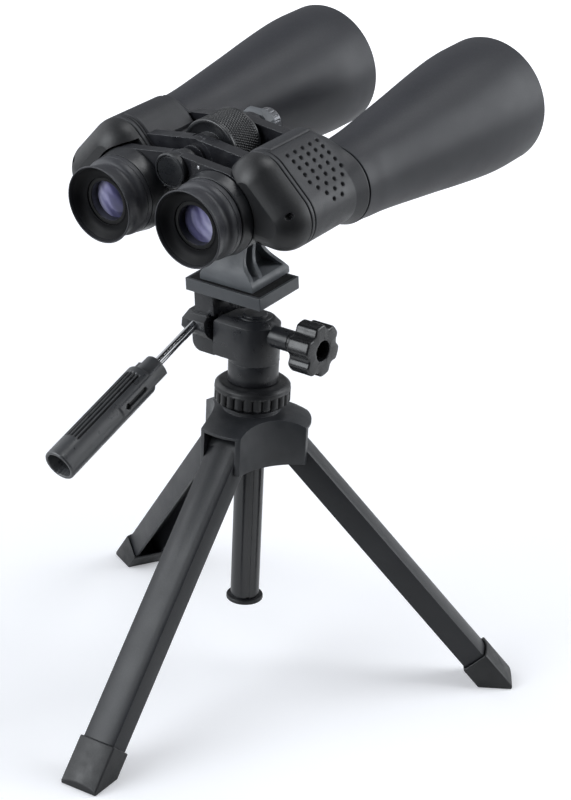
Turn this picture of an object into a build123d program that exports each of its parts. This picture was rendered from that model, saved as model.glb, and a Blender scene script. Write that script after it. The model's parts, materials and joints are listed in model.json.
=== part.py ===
"""Large 70 mm Porro-prism astronomy binoculars on a table tripod.

Frame: origin on the table, under the middle of the box that holds the whole
piece; +Z up, +Y the way the binoculars look (the user sits at -Y), +X to the
user's right. Millimetres. The drawing below is laid out from the column axis,
and every finished piece is set over by FOOTPRINT.
"""

from build123d import *
import os
from math import asin, cos, degrees, radians, sin

os.makedirs("parts", exist_ok=True)

# ---------------------------------------------------------------- driving sizes
FOOTPRINT = Location((6.77, 1.79, 0))   # column axis, from the middle of the footprint
RUN = 0.05              # running clearance on radius

# tilt group
TILT_Z = 251.7          # height of the tilt axis, which crosses the pan axis
TILT_REST = 6.79        # degrees, front of the binoculars up
GROUP_X = -11.7         # platform and binoculars stand this far left of the column
BINO_Y = -89.71         # eyecup rim plane, in the level head frame
BINO_Z = 361.07         # eyepiece axes, in the level head frame

# binoculars, measured from the eyecup rim plane (stations run forward)
EYE_X = 34.6            # half the rest interpupillary distance (69.2)
OBJ_X = 68.1            # half the objective spacing
HINGE_Z = 20.3          # centre hinge above the eyepiece axes
LENGTH = 284.4          # eyecup rim to objective rim
RIM_R = 44.0            # objective rim outer radius
LENS_R = 36.0           # objective glass radius (70 mm clear aperture)
SPIGOT_R = 22.4         # threaded rear end of the barrel
ARMOUR = 1.5            # rubber armour thickness
WALL = 2.4              # moulded wall thickness
EYECUP_R = 24.8
NECK_R = 17.3           # ocular neck, held in the arm
DRAWTUBE_R = 12.6
SHAFT_R = 6.6           # hinge shaft
KNUCKLE_R = 13.0        # hinge knuckles of the housings
WHEEL_R = 20.6
HUB_R = 7.0             # bridge hub, where the focusing arms sit
FOCUS_SCREW_R = 3.9

# stations along the prism housing
SEAM_Y = 46.7           # rear cover meets the housing
FULL_Y = 93.0           # the housing keeps its section to here
NOSE_Y = 104.8          # and ends on the barrel collar here
REAR_LUG = (52.3, 61.0)     # hinge lugs, start and end
FRONT_LUG = (96.5, 104.6)
ARM_Y = (32.0, 39.4)        # focusing arms, start and end
SHELF_Y = 68.6              # rear face of the prism shelf
SHELF_THICK = 3.4

# Circles whose hull is an outline: offset from the centreline, height, radius
SECTION = ((71.5, 0.0, 20.3), (55.0, 18.5, 19.0), (EYE_X, 0.0, 17.0))
NOSE_SECTION = ((OBJ_X, 0.0, 26.2), (59.0, 12.5, 17.5), (51.0, 2.0, 14.0))

# Rear cover dome: station, how far the outline is drawn in
DOME = ((SEAM_Y - 0.1, 0.0), (42.4, 0.5), (38.0, 2.1), (34.0, 5.0), (30.8, 8.8), (28.8, 13.0))

# Screws of each rear cover: offset from the centreline, height
COVER_SCREWS = ((84.7, 7.8), (62.0, -14.8))
SCREW_HEAD_Y = 36.4     # outer face of the screw heads
SCREW_HEAD = 1.8        # head height

# head
PLATFORM_WIDTH = 61.0
PLATFORM_DEPTH = 42.1
PLATFORM_THICK = 8.5
PLATFORM_TOP = 285.6
PLATFORM_BOTTOM = PLATFORM_TOP - PLATFORM_THICK
CAMERA_XY = (GROUP_X, 3.5)      # platform centre and camera screw
PLATFORM_SCREWS = ((-29.5, -6.0), (-29.5, 8.0))
SCREW_SEAT_Z = PLATFORM_TOP - 3.4
PAD_THICK = 1.0
TILT_SHAFT_R = 4.0
TILT_SHAFT_X = -36.0    # left end of the tilt shaft
BODY_R = 17.0
BODY_TOP = 261.5
PAN_Z = 231.7           # joint of the pan body and its base
PAN_SPIGOT_R = 7.0
CAP_SEAT_Z = BODY_TOP - 1.2
KNOB_R = 18.0
BOSS_R = 7.2            # facing bosses of the knob and the pan body
HANDLE_DROP = radians(23.56)    # below the horizon at rest
ROD_R = 3.0
GRIP_R = 11.0

# tripod
COLUMN_R = 9.85
COLUMN_BORE_R = 7.9
COLUMN_Z = 57.6         # lower end of the column tube
SOCKET_DEEP = 6.4       # column end in the pan base
COLLAR_R = 25.1
COLLAR_Z0, COLLAR_Z1 = 203.6, 217.2
CROWN_R = 40.0
SLEEVE_R = 14.2         # guide sleeve under the crown
PANEL_RING_R = 71.7     # centres of the hollow crown panels
LEG_AZ = tuple(-85.3 + 120 * k for k in range(3))
LEG_SLOPE = radians(41.1)       # from the vertical
PIVOT_R, PIVOT_Z = 25.0, 176.7
PIN_R = 2.5
LEG_HALF = 11.7         # half width
LEG_DEEP = 8.8          # half depth
LEG_WALL = 2.2
FOOT_HALF = 13.5
FOOT_DEEP = 10.6
CROWNED = 1.9           # drop from the crowned face to its edges

# ---------------------------------------------------------------- frames
TILT = radians(TILT_REST)
RIGHT = Vector(1, 0, 0)
FORWARD = Vector(0, cos(TILT), sin(TILT))
UP = Vector(0, -sin(TILT), cos(TILT))


def head(x, y, z):
    """A point of the level head frame, carried to its rest tilt."""
    return Vector(0, 0, TILT_Z) + RIGHT * x + FORWARD * y + UP * (z - TILT_Z)


def bino(x, y, z):
    """A point given by station y, height z and offset x in the binoculars."""
    return head(x + GROUP_X, y + BINO_Y, z + BINO_Z)


def station(y):
    """Cross-section plane of the binoculars: local x right, local y up, facing back."""
    return Plane(origin=bino(0, y, 0), x_dir=RIGHT, z_dir=-FORWARD)


def lengthwise(x, z):
    """Lengthwise plane through an axis of the binoculars: local x forward, local y up."""
    return Plane(origin=bino(x, 0, z), x_dir=FORWARD, z_dir=RIGHT)


def axis_at(x, z):
    return Axis(bino(x, 0, z), FORWARD)


def deck(z):
    """Plan view plane of the tilting head."""
    return Plane(origin=head(0, 0, z), x_dir=RIGHT, z_dir=UP)


def side_view(x):
    """Side view plane of the tilting head: local x forward, local y up."""
    return Plane(origin=head(x, 0, TILT_Z), x_dir=FORWARD, z_dir=RIGHT)


def back_view(y):
    """Plane across the tilting head: local x right, local y up, facing back."""
    return Plane(origin=head(0, y, TILT_Z), x_dir=RIGHT, z_dir=-FORWARD)


def knob_plane(x):
    """Level plane across the knob axis, facing right."""
    return Plane(origin=(x, 0, TILT_Z), x_dir=(0, 1, 0), z_dir=(1, 0, 0))


HANDLE_START = Vector(-34.0, -19.2, 253.3)
HANDLE_WAY = Vector(0, -cos(HANDLE_DROP), -sin(HANDLE_DROP))


def along_handle(distance):
    """Plane across the handle, facing its free end."""
    return Plane(origin=HANDLE_START + HANDLE_WAY * distance, x_dir=RIGHT, z_dir=HANDLE_WAY)


def leg_directions(azimuth):
    """Level directions away from the column and across the leg."""
    angle = radians(azimuth)
    return Vector(cos(angle), sin(angle), 0), Vector(-sin(angle), cos(angle), 0)


def pin_plane(azimuth, offset):
    """Plane across a leg pin axis, set back along the pin from the pivot."""
    radial, lateral = leg_directions(azimuth)
    pivot = radial * PIVOT_R + Vector(0, 0, PIVOT_Z)
    return Plane(origin=pivot - lateral * offset, x_dir=radial, z_dir=lateral)


def along_leg(azimuth, distance):
    """Plane across a leg, facing its foot: local x across, local y outwards."""
    radial, lateral = leg_directions(azimuth)
    pivot = radial * PIVOT_R + Vector(0, 0, PIVOT_Z)
    down = radial * sin(LEG_SLOPE) - Vector(0, 0, cos(LEG_SLOPE))
    return Plane(origin=pivot + down * distance, x_dir=lateral, z_dir=down)


# ---------------------------------------------------------------- shared shapes
# Helpers that extrude, revolve or loft add to the BuildPart block that calls them.
def save(piece, name):
    piece.part.label = name
    export_step(piece.part.moved(FOOTPRINT), f"parts/{name}.step")


def discs(plane, radius, length, *places, mode=Mode.ADD):
    """Extrude a circle at each place of the plane, or at its origin."""
    with BuildSketch(plane) as circles:
        with Locations(*(places or ((0, 0),))):
            Circle(radius)
    extrude(circles.sketch, amount=length, mode=mode)


def drill(plane, radius, length, *places):
    discs(plane, radius, length, *places, mode=Mode.SUBTRACT)


def revolve_outline(x, z, points):
    """Turn a closed outline of (station, radius) points about an axis."""
    with BuildSketch(lengthwise(x, z)) as half_section:
        with BuildLine():
            Polyline(*points, close=True)
        make_face()
    revolve(half_section.sketch, axis=axis_at(x, z))


def on_side(side, points):
    """Points given for the right half, mirrored for the left one."""
    return [(side * x, z) for x, z in points]


def outline(y, side, inset, circles=SECTION):
    """Housing outline at a station, drawn inwards by inset."""
    with BuildSketch(station(y)) as hull:
        for x, z, radius in circles:
            with Locations((side * x, z)):
                Circle(radius - inset)
        make_hull()
    return hull.sketch


def housing_body(side, inset, start_y, end_y, mode=Mode.ADD):
    """Constant prism section, then a blend to the barrel collar."""
    extrude(outline(start_y, side, inset), amount=-(FULL_Y - start_y), mode=mode)
    loft([outline(FULL_Y, side, inset).face(),
          outline(end_y, side, inset, NOSE_SECTION).face()], mode=mode)


def lens_surface(apex, edge, rim_radius):
    """Spherical lens surface between its apex on the axis and its edge."""
    sag = edge - apex
    radius = (rim_radius * rim_radius + sag * sag) / (2 * abs(sag))
    angle = degrees(asin(rim_radius / radius))
    if sag > 0:
        return CenterArc((apex + radius, 0), radius, 180 - angle, angle)
    return CenterArc((apex - radius, 0), radius, 0, angle)


# ================================================================ each half
def objective_barrel(side, half):
    """Flared objective barrel with its lens cell and dew shield."""
    with BuildPart() as barrel:
        with BuildSketch(lengthwise(side * OBJ_X, 0)):
            with BuildLine():
                # station, radius
                Polyline((97.5, 20.2), (97.5, SPIGOT_R), (NOSE_Y, SPIGOT_R), (NOSE_Y, 26.2),
                         (117.0, 26.8), (117.6, 26.2), (118.4, 26.2), (119.0, 27.1))
                Spline((119.0, 27.1), (135.0, 28.4), (152.4, 30.5), (172.7, 33.2),
                       (193.0, 35.9), (213.4, 38.9), (233.7, 41.6), (250.0, 43.4),
                       (262.0, RIM_R), tangents=((1, 0.07), (1, 0.0)))
                Polyline((262.0, RIM_R), (LENGTH - 0.8, RIM_R), (LENGTH, RIM_R - 0.8),
                         (LENGTH, 41.9), (262.0, 41.6), (262.0, LENS_R + RUN),
                         (246.0, LENS_R + RUN), (246.0, 34.6), (242.0, 34.6))
                Spline((242.0, 34.6), (213.4, 34.0), (172.7, 29.8), (135.0, 25.6),
                       (112.0, 22.0))
                Polyline((112.0, 22.0), (97.5, 20.2))
            make_face()
        revolve(axis=axis_at(side * OBJ_X, 0))
    save(barrel, f"{half}_objective_barrel")


def objective_lens(side, half):
    """Achromatic objective: a crown and a flint element."""
    with BuildPart() as objective:
        with BuildSketch(lengthwise(side * OBJ_X, 0)):
            with BuildLine():
                back = lens_surface(250.0, 253.5, LENS_R)
                front = lens_surface(264.2, 260.0, LENS_R)
                Line(back @ 0, front @ 1)
                Line(back @ 1, front @ 0)
            make_face()
        revolve(axis=axis_at(side * OBJ_X, 0))
        with BuildSketch(lengthwise(side * OBJ_X, 0)):
            with BuildLine():
                back = lens_surface(246.9, 246.0, LENS_R)
                front = lens_surface(249.9, 253.4, LENS_R)
                Line(back @ 1, front @ 0)
                Line(back @ 0, front @ 1)
            make_face()
        revolve(axis=axis_at(side * OBJ_X, 0))
    save(objective, f"{half}_objective_lens")


def objective_ring(side, half):
    """Threaded ring that keeps the objective in its cell."""
    front_y = 267.5
    with BuildPart() as ring:
        revolve_outline(side * OBJ_X, 0, (
            (262.0, 41.5), (266.5, 41.5), (front_y, 40.5), (front_y, 37.0),
            (264.4, 35.0), (261.2, 34.9), (261.2, 35.9), (262.0, 35.9)))
        with Locations(Plane(origin=bino(side * OBJ_X, front_y, 0), x_dir=RIGHT, z_dir=FORWARD)):
            with PolarLocations(39.2, 2):
                Hole(radius=0.9, depth=2.0)
    save(ring, f"{half}_objective_ring")


# Lug plates for the right half: offset from the centreline, height
REAR_PLATE = ((1.0, 33.2), (37.5, 28.8), (42.0, 22.0), (24.0, 4.0), (15.0, 8.0), (1.0, 12.0))
FRONT_PLATE = ((1.0, 33.2), (38.0, 29.0), (50.0, 24.0), (50.0, 10.0), (22.0, 6.0), (1.0, 12.0))
# Opening of the armour round the lugs, same columns
LUG_OPENING = ((2.0, 33.9), (37.8, 29.5), (51.5, 26.0), (51.5, 9.0), (24.0, 3.2), (2.0, 3.0))


def prism_housing(side, half):
    """Prism housing with its two hinge lugs."""
    screws = on_side(side, COVER_SCREWS)
    with BuildPart() as housing:
        housing_body(side, ARMOUR, SEAM_Y, NOSE_Y)
        # deep plates from the hinge knuckle to the housing wall
        for (start_y, end_y), plate in ((REAR_LUG, REAR_PLATE), (FRONT_LUG, FRONT_PLATE)):
            with BuildSketch(station(start_y)):
                with BuildLine():
                    Polyline(*on_side(side, plate), close=True)
                make_face()
                with Locations((0, HINGE_Z)):
                    Circle(KNUCKLE_R)
            extrude(amount=-(end_y - start_y))
        # the other half's knuckle takes one slice of each lug
        for start_y, end_y in (REAR_LUG, FRONT_LUG):
            middle_y = (start_y + end_y) / 2
            if side > 0:
                cut_start, cut_end = start_y - 0.5, middle_y + 0.08
            else:
                cut_start, cut_end = middle_y - 0.08, end_y + 0.5
            drill(station(cut_start), KNUCKLE_R + 0.4, -(cut_end - cut_start), (0, HINGE_Z))
            drill(station(start_y - 1), SHAFT_R + RUN, -(end_y - start_y + 2), (0, HINGE_Z))
        # prism chamber and the threaded mouth for the barrel
        extrude(outline(SEAM_Y - 1, side, ARMOUR + WALL), amount=-(91.0 - SEAM_Y + 1),
                mode=Mode.SUBTRACT)
        drill(station(88.0), SPIGOT_R + RUN, -(NOSE_Y - 88.0 + 1), (side * OBJ_X, 0))
        # bosses for the cover screws
        discs(station(SEAM_Y), 3.0, -16.0, *screws)
        drill(station(SEAM_Y), 1.05, -12.0, *screws)
    save(housing, f"{half}_prism_housing")
    return housing


def armour_sleeve(side, half, housing):
    """Rubber armour sleeve, open where the lugs leave the housing."""
    with BuildPart() as armour:
        housing_body(side, 0, SEAM_Y + 0.8, NOSE_Y - 0.6)
        housing_body(side, ARMOUR - RUN, SEAM_Y, NOSE_Y, mode=Mode.SUBTRACT)
        for start_y, end_y in ((REAR_LUG[0] - 0.6, REAR_LUG[1] + 0.6),
                               (FRONT_LUG[0] - 0.6, NOSE_Y + 1)):
            with BuildSketch(station(start_y)):
                with BuildLine():
                    Polyline(*on_side(side, LUG_OPENING), close=True)
                make_face()
            extrude(amount=-(end_y - start_y), mode=Mode.SUBTRACT)
        drill(station(90.0), 22.6, -20.0, (side * OBJ_X, 0))
        # moulded onto the housing: it follows the housing skin everywhere
        add(housing.part, mode=Mode.SUBTRACT)
        # keep only the largest solid left by the cuts
        skin = armour.part.solids().sort_by(SortBy.VOLUME)[-1]
        add(skin, mode=Mode.REPLACE)
    save(armour, f"{half}_armour")


def rear_cover(side, half):
    """Rear prism cover, hollowed for the focusing arm and the drawtube."""
    screws = on_side(side, COVER_SCREWS)
    with BuildPart() as cover:
        loft([outline(y, side, inset).face() for y, inset in DOME])
        with BuildSketch(station(20.0)):
            with Locations((side * EYE_X, 0)):
                Circle(28.2)
            with Locations((0, HINGE_Z)):
                Circle(15.0)
            make_hull()
        extrude(amount=-24.6, mode=Mode.SUBTRACT)
        drill(station(42.0), DRAWTUBE_R + RUN, -6.0, (side * EYE_X, 0))
        # lightening pockets on the hidden side
        with BuildSketch(station(SEAM_Y - 0.1)):
            with Locations((side * 73.0, 6.0)):
                Circle(7.0)
            with Locations((side * 73.0, -9.0)):
                Circle(5.5)
        extrude(amount=12.0, mode=Mode.SUBTRACT)
        for place in screws:
            drill(station(25.0), 2.1, -(SCREW_HEAD_Y + SCREW_HEAD - 25.0), place)
            drill(station(SCREW_HEAD_Y), 1.15, -12.0, place)
    save(cover, f"{half}_rear_cover")


def cover_screws(side, half):
    """Cross-slotted screws of the rear cover."""
    places = on_side(side, COVER_SCREWS)
    with BuildPart() as screws:
        discs(station(SCREW_HEAD_Y), 2.0, -SCREW_HEAD, *places)
        discs(station(SCREW_HEAD_Y + SCREW_HEAD), 1.0, -17.0, *places)
        with BuildSketch(station(SCREW_HEAD_Y)):
            with Locations(*places):
                Rectangle(2.6, 0.5)
                Rectangle(0.5, 2.6)
        extrude(amount=-0.9, mode=Mode.SUBTRACT)
    save(screws, f"{half}_cover_screws")


# The light crosses from one prism to the other midway between the optical axes
MID_X = (OBJ_X + EYE_X) / 2
MID_Z = (OBJ_X - EYE_X) / 2


def porro_prisms(side, half):
    """The two Porro prisms of the half, one on each face of the shelf."""
    with BuildPart() as prisms:
        # face station, offset, lean of the long edge, way the roof points
        for face_y, x, lean, roof_way in (
                (SHELF_Y, (OBJ_X + MID_X) / 2, -side, -FORWARD),
                (SHELF_Y + SHELF_THICK, (MID_X + EYE_X) / 2, side, FORWARD)):
            across = (RIGHT * lean + UP).normalized()
            with BuildSketch(Plane(origin=bino(side * x, face_y, MID_Z / 2), x_dir=across,
                                   z_dir=across.cross(roof_way))):
                with BuildLine():
                    Polyline((-19.5, 0), (19.5, 0), (2.5, 17.0), (-2.5, 17.0), close=True)
                make_face()
            extrude(amount=9.0, both=True)
    save(prisms, f"{half}_prisms")


def prism_shelf(side, half):
    """Prism shelf with its light stops."""
    with BuildPart() as shelf:
        extrude(outline(SHELF_Y, side, ARMOUR + WALL + RUN), amount=-SHELF_THICK)
        drill(station(68.0), 8.4, -5.0,
              (side * OBJ_X, 0), (side * MID_X, MID_Z), (side * EYE_X, 0))
    save(shelf, f"{half}_prism_shelf")


# Web of the focusing arm for the right half: offset from the centreline, height
ARM_WEB = ((2.0, 30.2), (37.0, 26.2), (EYE_X, 0.0), (13.0, -6.0), (8.6, 8.0), (6.0, 15.0))


def eyepiece_arm(side, half):
    """Focusing arm: hub ring, tapered web and eyepiece ring."""
    start_y, end_y = ARM_Y
    middle_y = (start_y + end_y) / 2
    with BuildPart() as arm:
        with BuildSketch(station(start_y)):
            with BuildLine():
                Polyline(*on_side(side, ARM_WEB), close=True)
            make_face()
            with Locations((side * EYE_X, 0)):
                Circle(26.6)
            with Locations((0, HINGE_Z)):
                Circle(10.3)
        extrude(amount=-(end_y - start_y))
        # room for the other arm's hub ring
        if side > 0:
            cut_start, cut_end = start_y - 0.5, middle_y + 0.06
        else:
            cut_start, cut_end = middle_y - 0.06, end_y + 0.5
        drill(station(cut_start), 10.6, -(cut_end - cut_start), (0, HINGE_Z))
        with BuildSketch(station(start_y - 1)):
            with Locations((0, HINGE_Z)):
                Circle(HUB_R + RUN)
            with Locations((side * EYE_X, 0)):
                Circle(NECK_R + RUN)
        extrude(amount=-(end_y - start_y + 2), mode=Mode.SUBTRACT)
    save(arm, f"{half}_eyepiece_arm")


# Flange of each ocular: station, radius. The right one backs the dioptre ring.
OCULAR_FLANGE = {
    "right": ((21.2, 20.5), (22.0, 20.5), (22.0, NECK_R)),
    "left": ((21.2, 25.4), (30.6, 27.0), (31.8, 27.0), (31.8, NECK_R)),
}


def ocular_tube(side, half):
    """Ocular: eyecup seat, neck in the arm and drawtube in the housing."""
    with BuildPart() as ocular:
        revolve_outline(side * EYE_X, 0, (
            (8.5, 12.7), (8.5, NECK_R), (21.2, NECK_R), *OCULAR_FLANGE[half],
            (ARM_Y[1], NECK_R), (ARM_Y[1], DRAWTUBE_R), (57.5, DRAWTUBE_R), (58.0, 12.1),
            (58.0, 11.0), (18.0, 11.0), (18.0, 12.7)))
    save(ocular, f"{half}_ocular")


def eye_lens_pair(side, half):
    """Eye lens and field lens, each with one domed face."""
    with BuildPart() as eye_lenses:
        with BuildSketch(lengthwise(side * EYE_X, 0)):
            with BuildLine():
                eye = lens_surface(11.4, 13.6, 12.6)
                Polyline(eye @ 0, (18.0, 12.6), (18.0, 0), eye @ 1)
            make_face()
        revolve(axis=axis_at(side * EYE_X, 0))
        with BuildSketch(lengthwise(side * EYE_X, 0)):
            with BuildLine():
                field = lens_surface(50.0, 48.4, 10.9)
                Polyline(field @ 1, (44.0, 10.9), (44.0, 0), field @ 0)
            make_face()
        revolve(axis=axis_at(side * EYE_X, 0))
    save(eye_lenses, f"{half}_eye_lenses")


def flared_eyecup(side, half):
    """Flared rubber eyecup."""
    with BuildPart() as eyecup:
        revolve_outline(side * EYE_X, 0, (
            (0.0, 23.9), (0.0, EYECUP_R - 0.3), (0.6, EYECUP_R), (2.2, 24.5), (9.8, 22.4),
            (11.2, 22.6), (13.2, 24.3), (15.0, 24.9), (21.0, 25.2), (21.0, NECK_R + RUN),
            (8.4, NECK_R + RUN), (8.4, 15.2), (7.4, 15.2)))
    save(eyecup, f"{half}_eyecup")


for side, half in ((1, "right"), (-1, "left")):
    objective_barrel(side, half)
    objective_lens(side, half)
    objective_ring(side, half)
    armour_sleeve(side, half, prism_housing(side, half))
    rear_cover(side, half)
    cover_screws(side, half)
    porro_prisms(side, half)
    prism_shelf(side, half)
    eyepiece_arm(side, half)
    ocular_tube(side, half)
    eye_lens_pair(side, half)
    flared_eyecup(side, half)

# ================================================================ centre of the binoculars
# ---- dioptre ring on the right eyepiece
with BuildPart() as dioptre_ring:
    revolve_outline(EYE_X, 0, (
        (22.1, NECK_R + RUN), (22.1, 25.0), (22.7, 25.5), (29.6, 26.9), (30.2, 26.4),
        (30.2, NECK_R + RUN)))
save(dioptre_ring, "dioptre_ring")

# ---- hinge shaft: rear stop, hollow shaft for the focus screw, front socket
with BuildPart() as hinge_shaft:
    revolve_outline(0, HINGE_Z, (
        (50.0, FOCUS_SCREW_R + RUN), (50.0, 9.0), (52.0, 9.0), (52.0, SHAFT_R),
        (104.9, SHAFT_R), (104.9, 11.4), (105.6, 12.0), (110.2, 12.0), (111.0, 11.2),
        (111.0, 3.2), (96.0, 3.2), (96.0, FOCUS_SCREW_R + RUN)))
save(hinge_shaft, "hinge_shaft")

# ---- knurled focus wheel
with BuildPart() as focus_wheel:
    revolve_outline(0, HINGE_Z, (
        (62.0, SHAFT_R + RUN), (62.0, 10.5), (67.5, 12.0), (67.5, 17.5), (66.5, 18.3),
        (66.5, 19.8), (67.3, WHEEL_R), (92.2, WHEEL_R), (93.0, 19.8), (93.0, 17.6),
        (92.2, 16.6), (92.2, 11.5), (95.6, 10.5), (95.6, SHAFT_R + RUN)))
    # finger grooves cut along the rim
    with BuildSketch(station(69.5)):
        with Locations((0, HINGE_Z)):
            with PolarLocations(WHEEL_R + 0.25, 60):
                Circle(0.62)
    extrude(amount=-21.0, mode=Mode.SUBTRACT)
save(focus_wheel, "focus_wheel")

# ---- bridge hub that carries both focusing arms, and its rear cap
CAP_SEAT_Y = 29.2
with BuildPart() as bridge_hub:
    revolve_outline(0, HINGE_Z, (
        (27.2, 9.55), (27.2, 10.5), (28.0, 11.3), (31.2, 11.3), (31.8, 10.7), (31.8, HUB_R),
        (39.6, HUB_R), (39.6, 9.2), (44.6, 9.2), (45.2, 8.6), (45.2, FOCUS_SCREW_R + RUN),
        (36.0, FOCUS_SCREW_R + RUN), (36.0, 0.0), (CAP_SEAT_Y, 0.0), (CAP_SEAT_Y, 9.55)))
save(bridge_hub, "bridge_hub")

with BuildPart() as bridge_cap:
    revolve_outline(0, HINGE_Z, (
        (27.6, 0), (27.6, 9.0), (28.1, 9.5), (CAP_SEAT_Y, 9.5), (CAP_SEAT_Y, 0)))
save(bridge_cap, "bridge_cap")

# ---- focus screw sliding inside the hinge shaft
with BuildPart() as focus_screw:
    revolve_outline(0, HINGE_Z, (
        (36.0, 0), (36.0, FOCUS_SCREW_R), (85.0, FOCUS_SCREW_R), (86.0, 3.0), (86.0, 0)))
save(focus_screw, "focus_screw")

# ================================================================ tripod adapter
BRACKET_BASE = PLATFORM_TOP - BINO_Z      # underside of the bracket foot
with BuildPart() as adapter:
    # side profile, swept across the full width
    with BuildSketch(lengthwise(0, 0)):
        with BuildLine():
            Line((76.5, BRACKET_BASE), (76.5, -70.5))
            Spline((76.5, -70.5), (80.6, -59.0), (90.0, -42.0), (101.5, -24.0), (111.3, -6.0),
                   tangents=((0.12, 1), (0.25, 1)))
            Polyline((111.3, -6.0), (111.3, 31.0), (113.5, 33.2), (116.6, 33.2),
                     (118.6, 31.0), (118.6, -6.0))
            Spline((118.6, -6.0), (113.4, -22.0), (106.8, -39.0), (104.0, -54.0),
                   tangents=((-0.2, -1), (0.05, -1)))
            Polyline((104.0, -54.0), (116.0, -71.0), (116.0, BRACKET_BASE),
                     (76.5, BRACKET_BASE))
        make_face()
    extrude(amount=22.0, both=True)
    # front outline with hollow flanks
    with BuildSketch(station(130)):
        with BuildLine():
            Line((-21.5, BRACKET_BASE - 1), (21.5, BRACKET_BASE - 1))
            Line((21.5, BRACKET_BASE - 1), (21.5, -72.0))
            Spline((21.5, -72.0), (12.8, -61.0), (9.6, -46.0), (9.0, -30.0),
                   tangents=((-0.35, 1), (0, 1)))
            Polyline((9.0, -30.0), (9.0, 8.0), (11.5, 14.0), (11.5, 27.0), (5.5, 33.5),
                     (-5.5, 33.5), (-11.5, 27.0), (-11.5, 14.0), (-9.0, 8.0), (-9.0, -30.0))
            Spline((-9.0, -30.0), (-9.6, -46.0), (-12.8, -61.0), (-21.5, -72.0),
                   tangents=((0, -1), (-0.35, -1)))
            Line((-21.5, -72.0), (-21.5, BRACKET_BASE - 1))
        make_face()
    extrude(amount=60.0, mode=Mode.INTERSECT)
    # recessed flanks: a rim all round, a centre web and one diagonal rib
    for side in (1, -1):
        with BuildSketch(lengthwise(side * 3.0, 0)):
            with BuildLine():
                Spline((80.2, -68.8), (84.0, -57.8), (92.2, -42.6), (102.8, -26.2),
                       (112.0, -9.0))
                Spline((112.0, -9.0), (110.4, -22.0), (104.2, -38.8), (101.5, -54.6))
                Polyline((101.5, -54.6), (111.4, -68.8), (80.2, -68.8))
            make_face()
            with BuildLine():
                Polyline((86.0, -69.5), (89.2, -69.5), (104.5, -30.0), (101.6, -30.0),
                         close=True)
            make_face(mode=Mode.SUBTRACT)
        extrude(amount=side * 20.0, mode=Mode.SUBTRACT)
    # bolt hole at the hinge, threaded socket for the camera screw
    drill(station(110.0), 3.4, -10.0, (0, HINGE_Z))
    drill(deck(PLATFORM_TOP - 1), 3.2, 7.0, CAMERA_XY)
save(adapter, "adapter_bracket")

with BuildPart() as adapter_bolt:
    revolve_outline(0, HINGE_Z, (
        (98.0, 0), (98.0, 2.6), (98.6, 3.15), (118.7, 3.15), (118.7, 7.0), (120.6, 9.4),
        (128.4, 9.4), (129.2, 8.6), (129.2, 6.0), (127.6, 5.2), (127.6, 0)))
    # grooves round the bolt head
    with BuildSketch(station(121.4)):
        with Locations((0, HINGE_Z)):
            with PolarLocations(9.9, 18):
                Circle(0.9)
    extrude(amount=-6.4, mode=Mode.SUBTRACT)
save(adapter_bolt, "adapter_bolt")

# ================================================================ tilting head
with BuildPart() as platform:
    with BuildSketch(deck(PLATFORM_BOTTOM)):
        with Locations(CAMERA_XY):
            Rectangle(PLATFORM_WIDTH, PLATFORM_DEPTH)
    extrude(amount=PLATFORM_THICK)
    upright_edges = platform.edges().filter_by(lambda e: abs(e.tangent_at(0.5).dot(UP)) > 0.99)
    fillet(upright_edges, radius=0.6)
    # recess for the pad
    with BuildSketch(deck(PLATFORM_TOP - PAD_THICK)):
        with Locations(CAMERA_XY):
            RectangleRounded(PLATFORM_WIDTH - 4.0, PLATFORM_DEPTH - 4.0, 1.2)
    extrude(amount=2.0, mode=Mode.SUBTRACT)
    drill(deck(PLATFORM_BOTTOM - 1), 3.35, PLATFORM_THICK + 2, CAMERA_XY)
    drill(deck(PLATFORM_BOTTOM - 1), 1.6, PLATFORM_THICK + 2, *PLATFORM_SCREWS)
    drill(deck(SCREW_SEAT_Z), 2.9, 4.0, *PLATFORM_SCREWS)
save(platform, "platform")

with BuildPart() as platform_pad:
    with BuildSketch(deck(PLATFORM_TOP - PAD_THICK)):
        with Locations(CAMERA_XY):
            RectangleRounded(PLATFORM_WIDTH - 4.2, PLATFORM_DEPTH - 4.2, 1.1)
            Circle(3.4, mode=Mode.SUBTRACT)
    extrude(amount=PAD_THICK)
save(platform_pad, "platform_pad")

with BuildPart() as platform_screws:
    discs(deck(SCREW_SEAT_Z), 2.8, 2.2, *PLATFORM_SCREWS)
    discs(deck(SCREW_SEAT_Z), 1.5, -15.0, *PLATFORM_SCREWS)
save(platform_screws, "platform_screws")

# ---- camera screw with its ribbed thumb wheel under the platform
THUMB_WHEEL_Z = 267.4
THUMB_WHEEL_HIGH = 9.5
with BuildPart() as camera_screw:
    discs(deck(THUMB_WHEEL_Z), 9.3, THUMB_WHEEL_HIGH, CAMERA_XY)
    with BuildSketch(deck(267.0)):
        with Locations(CAMERA_XY):
            with PolarLocations(9.75, 26):
                Circle(0.8)
    extrude(amount=11.0, mode=Mode.SUBTRACT)
    discs(deck(THUMB_WHEEL_Z + THUMB_WHEEL_HIGH), 3.15, 14.4, CAMERA_XY)
save(camera_screw, "camera_screw")

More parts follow.
